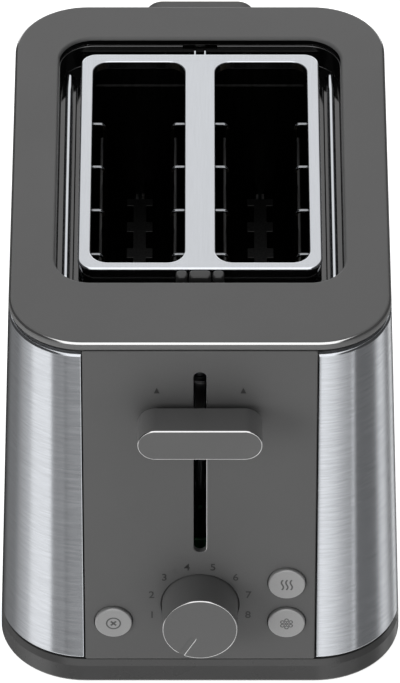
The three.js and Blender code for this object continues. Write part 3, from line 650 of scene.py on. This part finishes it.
def panel_opening(loop, edge):
    return (loop, edge_profile([(0, PANEL_FACE, edge), (0, PANEL_BACK, 0.2)], 4), "both")


def light_groove(shape, groove_y, groove_half):
    """Gives the rounded edge on the groove's right a painted highlight, the bright edge metal, on that side
    only where the light catches it.
    """
    for number, corners in enumerate(shape.faces):
        place = sum((shape.points[corner] for corner in corners), Vector()) / len(corners)
        beside = abs(place.x - GROOVE_HALF) < 0.5 and abs(place.y - groove_y) < groove_half
        if beside and PANEL_FACE - GROOVE_EDGE < place.z < PANEL_FACE:
            shape.looks[number] = 1


def make_panel(name, node, face, groove_z, openings):
    """An end panel, drawn on its face, with two rails behind its groove."""
    shape = Shape()
    bottom, top = PANEL_Z
    loop = rounded_rect(PANEL_HALF, (top - bottom) / 2 / cos(DRAFT), 0.9, 4)
    profile = edge_profile([(0, PANEL_FACE, 0.8), (0, PANEL_BACK, 0.2)], 5)
    middle = up_face((top + bottom) / 2)
    groove_half = (groove_z[1] - groove_z[0]) / 2
    groove_y = up_face(sum(groove_z) / 2) - middle
    groove = rounded_rect(GROOVE_HALF, groove_half, GROOVE_HALF - 0.01, 10, (0, groove_y))
    shifted = [panel_opening(groove, GROOVE_EDGE)]
    for edge, line, kind in openings:
        shifted.append(([(point - Vector((0, middle)), normal) for point, normal in edge], line, kind))
    plate(shape, loop, profile, shifted)
    light_groove(shape, groove_y, groove_half)
    rail_half, rail_end = 0.8, groove_half + 1
    for x in (-8.5, 8.5):
        low = (x - rail_half, groove_y - rail_end, -8)
        high = (x + rail_half, groove_y + rail_end, PANEL_BACK + 0.4)
        block(shape, low, high)
    shape.moved(face @ Matrix.Translation((0, middle, 0)))
    piece(name, shape, [PANEL_PLASTIC_PAINTED_SHADE, PAINTED_EDGE_HIGHLIGHT], [node])


def make_front_panel():
    seat, seat_width = -1.8, 13.7  # the ring that the dial turns over
    dial = edge_profile([
        (0, PANEL_FACE, 0.35), (0, seat, 0.3), (seat_width, seat), (seat_width, PANEL_BACK),
    ], 4)
    openings = [(circle(DIAL_RADIUS + 0.4, 96, (0, up_face(DIAL_Z))), dial, "both")]
    for x, z in BUTTONS.values():
        openings.append(panel_opening(circle(BUTTON_RADIUS + 0.3, 56, (x, up_face(z))), 0.3))
    make_panel("front_face", "front_panel", FACE_FRONT, FRONT_GROOVE_Z, openings)


def make_rear_panel():
    gland = panel_opening(circle(6.3, 40, (GLAND[0], up_face(GLAND[1]))), 0.3)
    make_panel("rear_face", "rear_panel", FACE_REAR, REAR_GROOVE_Z, [gland])


def make_pinion_boss():
    """The boss on the rear panel's back that the rack's pinion turns on."""
    z, outer, bore, length = 128, 6, 3.3, 11
    shape = Shape()
    lathe(shape, [(0, 4), (bore, 4), (bore, length), (outer, length), (outer, -0.4), (0, -0.4)], 40)
    back = BODY[1] + spread(z) - 2.8
    shape.moved(Matrix.Translation((0, back, z)) @ Matrix.Rotation(pi / 2, 4, "X"))
    piece("pinion_boss", shape, DARK_PLASTIC)


def make_side_shell(name, node, side):
    """A thin curved sheet from the front seam round the side to the rear seam."""
    half_x, half_y, radius = BODY
    start = asin((SEAM_X - (half_x - radius)) / radius)
    steps, straight, seam_round = 40, 24, 0.3
    near_seam = (0, 0.1, 0.22, 0.36, 0.5)
    away = 99.0  # any distance from the seam that its rounding doesn't reach
    stations = []
    for end in (-1, 1):
        arc = []
        for i in (*near_seam, *range(1, steps + 1)):
            angle = start + (pi / 2 - start) * i / steps
            normal = Vector((sin(angle), end * cos(angle)))
            middle = Vector((half_x - radius, end * (half_y - radius)))
            arc.append((middle + radius * normal, normal, radius * (angle - start)))
        stations.append(arc)
    sides = []
    for i in range(1, straight):
        y = (half_y - radius) * (2 * i / straight - 1)
        sides.append((Vector((half_x, y)), Vector((1, 0)), away))
    path = stations[0] + sides + stations[1][::-1]
    profile = filleted([
        (0, 14.5, 1.3), (0, 190.5, 1.3), (2.7, 190.5, 0.3), (2.7, 189.8, 0.3), (1.2, 188.2, 0.8),
        (1.2, 16.8, 0.8), (2.7, 15.2, 0.3), (2.7, 14.5, 0.3),
    ], 5, closed=True)
    shape = Shape()
    rings = []
    for point, normal, along in path:
        near = max(seam_round - along, 0)
        pulled = seam_round - sqrt(max(seam_round**2 - near**2, 0))
        ring = []
        for inset, z in profile:
            place = point + (spread(z) - max(inset, pulled)) * normal
            ring.append((side * place.x, place.y, z))
        rings.append(shape.ring(ring))
    shape.solid(rings)
    piece(name, shape, BRUSHED_STEEL, [node], sharp_deg=40)


def centred(node):
    """The plan position of a CAD node's middle, in millimetres."""
    low, high = corners_mm(node)
    return ((low.x + high.x) / 2, (low.y + high.y) / 2)


def make_base():
    floor, under, rim, shoulder = BASE_FLOOR, BASE_UNDER, 13.2, 9.8
    profile = body_profile([
        (12, floor), (3.4, floor, 0.8), (2.8, shoulder, 1), (3.4, rim, 0.3), (0.8, rim, 0.4),
        (0, shoulder, 0.3), (0.1, 1.6, 0.4), (0.5, under, 0.2), (12, under),
    ], 4)[1:-1]
    openings = []
    for number in range(1, 5):
        boss = [(0, floor), (0, 12.6), (2, 12.6), (2, 3.2), (0.2, 3.2), (0.2, under)]
        openings.append((circle(4.2, 32, centred(f"base_screw_{number}")), boss, "both"))
        pocket = [(-0.4, under), (0, under + 0.4), (0, 3.3)]
        openings.append((circle(9.3, 48, centred(f"foot_{number}")), pocket, "back"))
    socket = [(0, floor), (0, 12), (3.2, 12), (3.2, 6)]
    openings.append((circle(6, 32, LIFT_ROD), socket, "front"))
    vent = edge_profile([(0, floor, 0.4), (0, under, 0.4)], 2)
    for row in range(-2, 3):
        for x in (-68, 68):
            openings.append((rounded_rect(9, 2, 1.9, 5, (x, row * 12)), vent, "both"))
    shape = Shape()
    plate(shape, rounded_rect(*BODY, 20), profile, openings)
    tray_notch = Shape()
    block(tray_notch, (-50.3, 114, floor), (50.3, 140, 20), 0.4, 0.3)
    piece("base_tub", shape, BASE_PLASTIC_PAINTED_SHADE, ["base"], cuts=[tray_notch])


def make_tray_rails():
    shape = Shape()
    for x in (-50.4, 50.4):
        block(shape, (x - 0.8, -62, BASE_FLOOR - 0.3), (x + 0.8, 112, 12))
    piece("tray_rails", shape, BASE_PLASTIC_PAINTED_SHADE)


def make_feet():
    for number in range(1, 5):
        shape = Shape()
        profile = filleted([(0, 0), (9, 0, 1.0), (9, 3, 0.2), (0, 3)], 5)
        lathe(shape, [(0, 0.3), (5.2, 0.3), (5.6, 0)] + profile[1:], 48)
        x, y = centred(f"foot_{number}")
        shape.moved(Matrix.Translation((x, y, 0)))
        piece(f"foot_pad_{number}", shape, RUBBER, [f"foot_{number}"])


def make_gland():
    """A flanged bush: (radius, distance out from the panel) round its bore."""
    shape = Shape()
    bore, neck, flange = 3.9, 6, 8.6
    profile = filleted([
        (bore, -7, 0.3), (neck, -7, 0.3), (neck, 0.3), (flange, 0.3, 0.2), (flange, 1.8, 0.6),
        (7.4, 2.8, 0.6), (bore, 2.8, 0.8),
    ], 4, closed=True)
    lathe(shape, profile, 56, closed=True)
    shape.moved(on_face(FACE_REAR, *GLAND))
    piece("cord_outlet_bush", shape, RUBBER, ["cord_gland"])


# --- slot plate and well ---


def make_slot_plate():
    top, under, lip = 196, 194.6, 191.8
    edge = edge_profile([(0, top, 1.1), (0, under, 0.2)], 6)
    rolled = edge_profile([(0, top, 0.6), (0, lip, 0.3), (-0.9, lip, 0.3), (-0.9, under, 0.2)], 6)
    slots = []
    for side in (-1, 1):
        slots.append((rounded_rect(*SLOT, 12, (side * SLOT_X, SLOT_Y)), rolled, "both"))
    shape = Shape()
    plate(shape, rounded_rect(*PLATE, 12, OPENING_CENTRE), edge, slots)
    back = OPENING_CENTRE[1] + PLATE[1]
    for x in (-2.3, 2.3):
        block(shape, (x - 0.4, back - 0.2, 193.4), (x + 0.4, back + 3, 195.4), 0.15, 0.15)
    piece("slot_deck", shape, POLISHED_STEEL, ["slot_plate"])


def make_well():
    """A shallow gloss tray round the plate, with a sloping step at the foot of its inner wall."""
    floor, under, rim, collar, step, sheet, gap = 182, 180.5, 192.7, 194.3, 1.5, 1.3, 0.45
    outer = edge_profile([(0, floor, 0.4), (0, rim, 0.4), (sheet, rim, 0.4), (sheet, under, 1)], 5)
    inner = edge_profile([
        (-2.7, floor, 0.1), (-2.7, floor + step, 0.7), (0, floor + 1.5 * step, 0.2), (0, collar),
        (sheet, collar), (sheet, under),
    ], 5)
    openings = [(rounded_rect(54.4, 77.2, 6.8, 12, OPENING_CENTRE), inner, "both")]
    leg_hole = edge_profile([(0, floor, 0.3), (0, under)], 3)
    for side in (-1, 1):
        for y in ROD_LEGS:
            openings.append((circle(ROD_RADIUS + 0.6, 24, (side * ROD_X, y)), leg_hole, "both"))
    shape = Shape()
    loop = rounded_rect(OPENING[0] - gap, OPENING[1] - gap, 15.6, 16, OPENING_CENTRE)
    plate(shape, loop, outer, openings)
    back = OPENING_CENTRE[1] + OPENING[1]
    clip_notch = Shape()
    block(clip_notch, (-8, back - 4, rim - 1.5), (8, back + 4, rim + 6), 0.3, 0.3)
    piece("well_tub", shape, ENAMEL, ["warmer_well"], cuts=[clip_notch])


def make_plate_clip():
    low, high = corners_mm("plate_clip")
    shape = Shape()
    block(shape, (low.x, low.y, low.z), (high.x, high.y, 187), 0.5, 0.5)
    for x, half in ((0, 4.9), (-8.2, 2.6), (8.2, 2.6)):
        block(shape, (x - half, high.y - 5.2, 186), (x + half, high.y, high.z), 1.9, 0.9, steps=6)
    piece("deck_clip", shape, BASE_PLASTIC_PAINTED_SHADE, ["plate_clip"])


# --- wires: rack, guides and spring ---


def make_rack(side):
    """One rod, bent down at both ends. The rear leg turns back to the crossbar."""
    x, (front, rear) = side * ROD_X, ROD_LEGS
    top, front_end, bar_y, bar_z = 186, 118, 99.7, 95
    corners = [(x, front, front_end), (x, front, top), (x, rear, top), (x, rear, bar_z), (x, bar_y, bar_z)]
    shape = Shape()
    tube(shape, bent(corners, 5), ROD_RADIUS, 24)
    word = "left" if side < 0 else "right"
    piece(f"{word}_rack_wires", shape, CHROME, [f"{word}_rack"], "bun_rack", sharp_deg=50)


def make_guide(name, x, outward):
    """Four uprights on two bars in the chamber steel darkened as painted shade. Their tops, in a lighter
    steel as painted highlight, bend over, away from the slot.
    """
    shape = Shape()
    bottom, top, bend = 38, 183, 2.2
    for y in GUIDE_YS:
        tube(shape, [(x, y, bottom), (x, y, 180.9)], 0.75, 12, look=1)
        hook = [(x, y, 180.2), (x, y, top), (x + outward * 6.5, y, top)]
        tube(shape, bent(hook, bend), 0.77, 12)
    x_low, x_high = sorted((x + outward * 0.6, x + outward * 2.2))
    for z in (44, 168):
        low, high = (x_low, GUIDE_YS[0] - 3, z), (x_high, GUIDE_YS[-1] + 3, z + 5)
        block(shape, low, high, 0.4, 0.4, look=1)
    piece(f"{name}_wires", shape, [GUIDE_STEEL, CHAMBER_STEEL_PAINTED_SHADE], [name], name, sharp_deg=50)


def make_spring():
    shape = Shape()
    turns, steps, bottom, length, radius = 8, 28, 132.7, 49.6, 4
    x, y = LIFT_SPRING
    path = []
    for i in range(turns * steps + 1):
        angle = TURN * i / steps
        z = bottom + length * i / (turns * steps)
        path.append((x + radius * cos(angle), y + radius * sin(angle), z))
    tube(shape, path, 0.6, 10)
    piece("lift_spring_coil", shape, PLATED_STEEL, ["lift_spring"], sharp_deg=60)


def make_heater_windings():
    """Flat resistance ribbon wound round each mica board, sloping from face to face."""
    rows, first, last, width, slope = 22, 8, 128, 1.1, 3.2
    section = [(0.02, 3, 0), (0.14, 2.8, 0), (0.14, 2.8, width), (0.02, 3, width)]  # out, in, up
    for name in HEATERS:
        low, high = corners_mm(name)
        shape = Shape()
        for row in range(rows):
            z = low.z + first + row * (last - first) / (rows - 1)
            rings = []
            for out, into, up in section:
                rings.append(shape.ring([
                    (low.x - out, low.y + into, z + up),
                    (high.x + out, low.y + into, z + slope / 2 + up),
                    (high.x + out, high.y - into, z + slope / 2 + up),
                    (low.x - out, high.y - into, z + up),
                ]))
            shape.skin(rings + [rings[0]])
        piece(f"{name}_ribbon", shape, RIBBON_METAL)


# --- levers, dial and buttons ---


def face_reach(node, face):
    """How far a CAD node stands proud of an end panel's face."""
    to_face = face.inverted()
    return max((to_face @ (vertex.co / MM)).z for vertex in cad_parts[node].data.vertices)


def make_lever_knob(name, node, body, face, z):
    """A flattened stadium with a painted edge highlight, a bright mirror-metal look, round the rim of its
    front face.
    """
    low, high = corners_mm(node)
    back, steps = 3, 6
    profile = edge_profile([(0, face_reach(node, face), 0.5), (0, back, 1.0)], steps)
    pocket = (rounded_rect(2.5, 4.2, 0.5, 3), [(0, back), (0, 10.5)], "back")
    loop = rounded_rect((high.x - low.x) / 2, KNOB_HALF_Y, KNOB_HALF_Y - 0.01, 24)
    shape = Shape()
    # Painted light: the front rim gets the bright edge metal as a painted highlight, and the sides and top
    # get the lighter grey plastic while the face keeps the darker knob plastic, so the shaded top reads
    # lighter.
    plate(shape, loop, profile, [pocket], look_at=lambda number: 1 if number < steps else 2)
    shape.moved(on_face(face, 0, z))
    piece(name, shape, [KNOB_PLASTIC_PAINTED_SHADE, PAINTED_EDGE_HIGHLIGHT, GREY_PLASTIC], [node], body)


def make_dial():
    """A cap with a painted edge highlight on its rim, a stem behind it, and a pointer cut into its face as a
    groove.
    """
    steps, back, stem, stem_end = 6, -1.4, 3.3, 9.3
    profile = filleted([
        (0, DIAL_PROUD), (DIAL_RADIUS - 0.4, DIAL_PROUD, 0.45), (DIAL_RADIUS, back, 0.3), (stem, back),
        (stem, stem_end), (0, stem_end),
    ], steps)
    shape = Shape()
    # Painted highlight: the rounded rim gets the bright edge metal.
    lathe(shape, profile, 128, look_at=lambda number: 1 if 1 <= number <= steps else 0)
    pointer = Shape()
    # Painted highlight: the groove's walls get the white plastic for the light line caught along its edge;
    # its floor keeps the knob plastic.
    block(pointer, (4.8, -1.5, DIAL_PROUD - 0.55), (24, 1.5, DIAL_PROUD + 2), 1.49, 0.1, look=2, steps=8)
    pointer.looks[-2] = 0  # its floor
    pointer.moved(Matrix.Rotation(radians(POINTER_DEG), 4, "Z"))
    for drawn in (shape, pointer):
        drawn.moved(on_face(FACE_FRONT, 0, DIAL_Z))
    looks = [KNOB_PLASTIC_PAINTED_SHADE, PAINTED_EDGE_HIGHLIGHT, WHITE_PLASTIC]
    piece("dial_cap", shape, looks, ["dial_knob"], "dial", cuts=[pointer], edge=0.12)


def make_button(name):
    shape = Shape()
    radius, proud, flange, stem = BUTTON_RADIUS, BUTTON_PROUD, 9.6, 2.5
    profile = filleted([
        (0, proud), (radius, proud - 0.15, 0.8), (radius, -3.5), (flange, -3.5, 0.2), (flange, -4.4, 0.2),
        (stem, -4.4), (stem, -6.3, 0.3), (0, -6.3),
    ], 6)
    lathe(shape, [(0, proud), (radius * 0.45, proud - 0.03)] + profile[1:], 72)
    shape.moved(on_face(FACE_FRONT, *BUTTONS[name]))
    button = f"{name}_button"
    piece(f"{name}_cap", shape, BUTTON_PLASTIC, [button], button)


# --- printed marks ---

INK = 0.05  # thickness of a printed mark
SCALE_RADIUS = 22.6


def ribbon(shape, points, width, low, closed=False):
    """A flat inked line along points (x, y)."""
    points = [Vector(point) for point in points]
    count = len(points)
    rings = []
    for i, point in enumerate(points):
        before = points[i - 1] if closed or i else points[i]
        after = points[(i + 1) % count] if closed or i < count - 1 else points[i]
        along = (after - before).normalized()
        across = Vector((-along.y, along.x)) * width / 2
        left, right = point + across, point - across
        rings.append(shape.ring([(*left, low), (*right, low), (*right, low + INK), (*left, low + INK)]))
    if closed:
        shape.skin(rings + [rings[0]])
    else:
        shape.solid(rings)


def polygon(shape, points, low):
    """A flat inked patch inside points (x, y)."""
    rings = [shape.ring([(x, y, z) for x, y in points]) for z in (low, low + INK)]
    shape.skin(rings)
    shape.fill([rings[0]])
    shape.fill([rings[1]])


def text_shape(shape, words, size, matrix):
    """Letters as a thin inked solid, centred on the matrix's origin and a little bold."""
    curve = bpy.data.curves.new("text", "FONT")
    curve.body = words
    curve.size = size
    curve.align_x = "CENTER"
    curve.align_y = "CENTER"
    curve.extrude = INK / 2
    curve.offset = 0.05
    thing = into_scene("text", curve)
    mesh = shown_mesh(thing)
    bpy.data.objects.remove(thing)
    first = len(shape.points)
    shape.points += [matrix @ vertex.co for vertex in mesh.vertices]
    for face in mesh.polygons:
        shape.face([first + index for index in face.vertices])
    bpy.data.meshes.remove(mesh)


def on_scale(degrees):
    """A place on the dial's scale, by degrees anticlockwise from its top."""
    angle = radians(degrees)
    return (-SCALE_RADIUS * sin(angle), SCALE_RADIUS * cos(angle))


def make_dial_numbers():
    """Browning numbers round the dial."""
    shape = Shape()
    for number, degrees in enumerate([106, 75.7, 45.4, 15, -15, -45.4, -75.7, -106], 1):
        text_shape(shape, str(number), 5.5, Matrix.Translation((*on_scale(degrees), INK / 2 + PANEL_FACE)))
    shape.moved(on_face(FACE_FRONT, 0, DIAL_Z))
    piece("dial_numbers", shape, MARK_INK)


def make_bun_mark():
    """A small bun between 3 and 4: a domed top over a flat line."""
    x, y = on_scale(30)
    half, rise, steps = 1.5, 1.1, 12
    angles = [pi * i / steps for i in range(steps + 1)]
    shape = Shape()
    polygon(shape, [(x + half * cos(a), y + rise * sin(a)) for a in angles], PANEL_FACE)
    line = [(x - half, y - 0.9), (x + half, y - 0.9), (x + half, y - 0.4), (x - half, y - 0.4)]
    polygon(shape, line, PANEL_FACE)
    shape.moved(on_face(FACE_FRONT, 0, DIAL_Z))
    piece("bun_mark", shape, ICON_INK)


def make_lever_marks():
    shape = Shape()
    for x in (-19.2, 19.2):
        centre = up_face(170.2)
        polygon(shape, [(x - 1.3, centre - 1.5), (x + 1.3, centre - 1.5), (x, centre + 1.7)], PANEL_FACE)
    shape.moved(FACE_FRONT)
    piece("lever_marks", shape, MARK_INK)


def stop_icon(low):
    """A cross in a ring."""
    shape = Shape()
    half = 1.2
    ribbon(shape, [point for point, _ in circle(3.1, 40)], 0.7, low - 0.02, closed=True)
    for turn in (1, -1):
        ribbon(shape, [(-half, -half * turn), (half, half * turn)], 0.9, low)
    return shape


def reheat_icon(low):
    """Three wavy lines."""
    shape = Shape()
    steps, half = 16, 2.9
    for x in (-2.0, 0, 2.0):
        line = []
        for i in range(steps + 1):
            y = -half + 2 * half * i / steps
            line.append((x + 0.55 * sin(TURN * i / steps) + 0.07 * y, y))
        ribbon(shape, line, 0.75, low)
    return shape


def defrost_icon(low):
    """Six petals on six spokes."""
    shape = Shape()
    for i in range(6):
        angle = TURN * (i + 0.5) / 6
        out = Vector((cos(angle), sin(angle)))
        petal = [2.15 * out + 0.8 * point for point, _ in circle(1, 24)]
        ribbon(shape, petal, 0.5, low - 0.02, closed=True)
        ribbon(shape, [out * 0.25, out * 1.15], 0.5, low)
    return shape


def make_button_icons():
    for name, draw in (("stop", stop_icon), ("reheat", reheat_icon), ("defrost", defrost_icon)):
        shape = draw(BUTTON_PROUD - 0.04)
        shape.moved(on_face(FACE_FRONT, *BUTTONS[name]))
        piece(f"{name}_icon", shape, ICON_INK, body=f"{name}_button")


# --- crumb tray ---


def make_tray_handle():
    """The strip that closes the base's rear notch, with a finger groove under it."""
    back = corners_mm("crumb_tray_handle")[0]
    half = -back.x
    bottom, top = 4.8, 13.0
    levels = [(bottom, 0.4), (9.8, 0.2), (top, 0.9)]
    outer = [(BODY[1] + spread(z) - inset, z) for z, inset in levels]
    section = [(back.y, bottom), *outer, (back.y, top)]
    shape = Shape()
    rings = [shape.ring([(x, y, z) for y, z in section]) for x in (-half, half)]
    shape.solid(rings)
    grip = Shape()
    block(grip, (-24, back.y + 2.7, 0), (24, back.y + 30, 8), 3, 0.6, steps=6)
    nodes = ["crumb_tray_handle"]
    piece("tray_handle", shape, BASE_PLASTIC_PAINTED_SHADE, nodes, "crumb_tray", cuts=[grip], edge=0.5)


# --- CAD nodes that stay ---

CARRIED = [
    # painted shade: the chassis plates and reflectors inside the chamber get the darkened steel
    (CHAMBER_STEEL_PAINTED_SHADE, ["front_chassis_plate", "rear_chassis_plate", "left_reflector", "right_reflector"]),
    (MICA, HEATERS),
    (CHROME, ["guide_rod"]),
    (COPPER, ["magnet_coil"]),
    (DARK_STEEL, ["magnet_core", "left_bread_carrier", "right_bread_carrier"]),
    (PLATED_STEEL, ["magnet_armature", "dial_shaft", "lift_carriage", "crumb_tray"]),
    (PLATED_STEEL, [f"base_screw_{number}" for number in range(1, 5)]),
    (BOARD_GREEN, ["control_board"]),
    (DARK_PLASTIC, ["dial_potentiometer", *(f"{name}_switch" for name in BUTTONS)]),
    (WHITE_PLASTIC, ["rack_slider", "rack_pinion", "rack_crossbar"]),
]


def finish_carried(node, look):
    """A better material and softened edges for a CAD node that stays."""
    for slot in node.material_slots:
        slot.link = "OBJECT"
        slot.material = look
    weld = node.modifiers.new("weld", "WELD")
    weld.merge_threshold = 1e-6
    bevel(node, 0.15, 1, 35)


# --- camera, light and floor ---


def make_camera():
    data = bpy.data.cameras.new("camera")
    data.lens = CAMERA_LENS
    data.clip_end = 50
    camera = into_scene("camera", data)
    camera.location = CAMERA_PLACE
    camera.rotation_euler = (CAMERA_TILT, 0, 0)
    bpy.context.scene.camera = camera


def make_floor():
    shape = Shape()
    half = 9000
    shape.face(shape.ring([(-half, -half, 0), (half, -half, 0), (half, half, 0), (-half, half, 0)]))
    paint = Paint("floor", 0.9)
    paint.color(paint.span(paint.noise(3, 2), 0, 1), grey(238), grey(242))
    paint.shader.inputs["Emission Color"].default_value = (1, 1, 1, 1)
    paint.shader.inputs["Emission Strength"].default_value = 0.8
    floor = make_object("floor", shape, [paint.material])
    floor.visible_glossy = False


# What gloss sees below the horizon, as (degrees, grey level) round from the front: minus is the left.
PANELS = [
    (-180, 0), (-160, 0), (-148, 84), (-140, 112), (-114, 116), (-104, 154), (-84, 190), (-80, 232),
    (-49, 236), (-47, 138), (-30, 138), (-27, 104), (-23, 124), (-3, 132), (5, 150), (8, 232), (30, 200),
    (52, 150), (56, 225), (59, 100), (96, 100), (101, 170), (107, 208), (115, 208), (129, 110),
    (136, 110), (142, 200), (149, 235), (154, 150), (160, 20), (180, 0),
]


class Sky(Graph):
    """The world's nodes. Its directions run from 0 (down, or the front) to 1 (up, or the back)."""

    def __init__(self, tree):
        super().__init__(tree)
        self.nodes.clear()
        place = self.nodes.new("ShaderNodeTexCoord").outputs["Generated"]
        split = self.nodes.new("ShaderNodeSeparateXYZ")
        self.links.new(place, split.inputs[0])
        x, y, z = split.outputs
        self.sideways = self.math("ABSOLUTE", x, 0.0)
        self.back = self.math("ADD", self.math("MULTIPLY", y, 0.5), 0.5)
        self.height = self.math("ADD", self.math("MULTIPLY", z, 0.5), 0.5)
        around = self.math("ARCTAN2", x, self.math("MULTIPLY", y, -1.0))
        self.around = self.math("ADD", self.math("DIVIDE", around, TURN), 0.5)
        self.rays = self.nodes.new("ShaderNodeLightPath")

    def math(self, kind, first, second):
        node = self.nodes.new("ShaderNodeMath")
        node.operation = kind
        self.feed(node.inputs[0], first)
        self.feed(node.inputs[1], second)
        return node.outputs[0]

    def ramp(self, value, stops):
        """Grey levels between stops (position, level)."""
        node = self.nodes.new("ShaderNodeValToRGB")
        elements = node.color_ramp.elements
        elements.remove(elements[-1])
        elements[0].position = stops[0][0]
        elements[0].color = (*grey(stops[0][1]), 1)
        for position, level in stops[1:]:
            elements.new(position).color = (*grey(level), 1)
        self.links.new(value, node.inputs[0])
        return node.outputs[0]

    def light(self, color, strength=1.0):
        node = self.nodes.new("ShaderNodeBackground")
        self.feed(node.inputs[0], color)
        self.feed(node.inputs[1], strength)
        return node.outputs[0]

    def for_rays(self, kind, others, these):
        """One light for the rays of a kind and another for the others."""
        node = self.nodes.new("ShaderNodeMixShader")
        for socket, source in zip(node.inputs, (self.rays.outputs[kind], others, these)):
            self.links.new(source, socket)
        return node.outputs[0]


def glossy_light(sky):
    """Panels round the toaster, a window overhead with dark sides, and a pale floor."""
    low = sky.ramp(sky.around, [(degrees / 360 + 0.5, level) for degrees, level in PANELS])
    window = sky.ramp(sky.back, [(0.6, 255), (0.8, 193), (0.89, 200), (0.95, 255)])
    dome = sky.mix(sky.ramp(sky.sideways, [(0.4, 0), (0.52, 255)]), window, grey(60))
    round_about = sky.mix(sky.ramp(sky.height, [(0.28, 0), (0.38, 255)]), low, dome)
    floor = sky.ramp(sky.height, [(0.05, 255), (0.1, 0)])
    return sky.light(sky.mix(floor, round_about, grey(245)), 1.3)


def make_world():
    """A soft studio. Gloss sees its panels, the camera sees white, and the rest is even light."""
    world = bpy.data.worlds.new("studio")
    bpy.context.scene.world = world
    world.use_nodes = True
    sky = Sky(world.node_tree)
    even = sky.light(sky.ramp(sky.height, [(0.0, 235), (0.5, 175), (1.0, 188)]))
    lit = sky.for_rays("Is Glossy Ray", even, glossy_light(sky))
    output = sky.nodes.new("ShaderNodeOutputWorld")
    sky.links.new(sky.for_rays("Is Camera Ray", lit, sky.light(grey(255))), output.inputs[0])


def add_softbox(name, place, target, size, power):
    data = bpy.data.lights.new(name, "AREA")
    data.shape = "RECTANGLE"
    data.size, data.size_y = size
    data.energy = power
    data.spread = radians(140)
    light = into_scene(name, data)
    light.location = place
    light.rotation_mode = "QUATERNION"
    light.rotation_quaternion = (Vector(target) - Vector(place)).to_track_quat("-Z", "Y")
    light.visible_camera = False
    light.visible_glossy = False


def make_lights():
    add_softbox("back_top", (0.1, 1.25, 1.35), (0, 0.02, 0.15), (1.5, 0.9), 4)
    add_softbox("left_front", (-1.3, -1.2, 0.45), (0, -0.1, 0.1), (0.8, 0.8), 8)


scene = bpy.context.scene
scene.view_settings.view_transform = "Standard"
scene.view_settings.look = "None"

make_camera()
make_floor()
make_world()
make_lights()
make_cover()
make_front_panel()
make_rear_panel()
make_pinion_boss()
make_side_shell("left_shell", "left_side_shell", -1)
make_side_shell("right_shell", "right_side_shell", 1)
make_base()
make_tray_rails()
make_feet()
make_gland()
make_slot_plate()
make_well()
make_plate_clip()
for side in (-1, 1):
    make_rack(side)
for name, (x, outward) in GUIDES.items():
    make_guide(name, x, outward)
make_spring()
make_heater_windings()
make_lever_knob("lift_knob", "lift_lever_knob", "lift_carriage", FACE_FRONT, LIFT_KNOB_Z)
make_lever_knob("rack_knob", "rack_lever_knob", "rack_lever", FACE_REAR, RACK_KNOB_Z)
make_dial()
for name in BUTTONS:
    make_button(name)
make_dial_numbers()
make_bun_mark()
make_lever_marks()
make_button_icons()
make_tray_handle()
for look, names in CARRIED:
    for name in names:
        finish_carried(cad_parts[name], look)
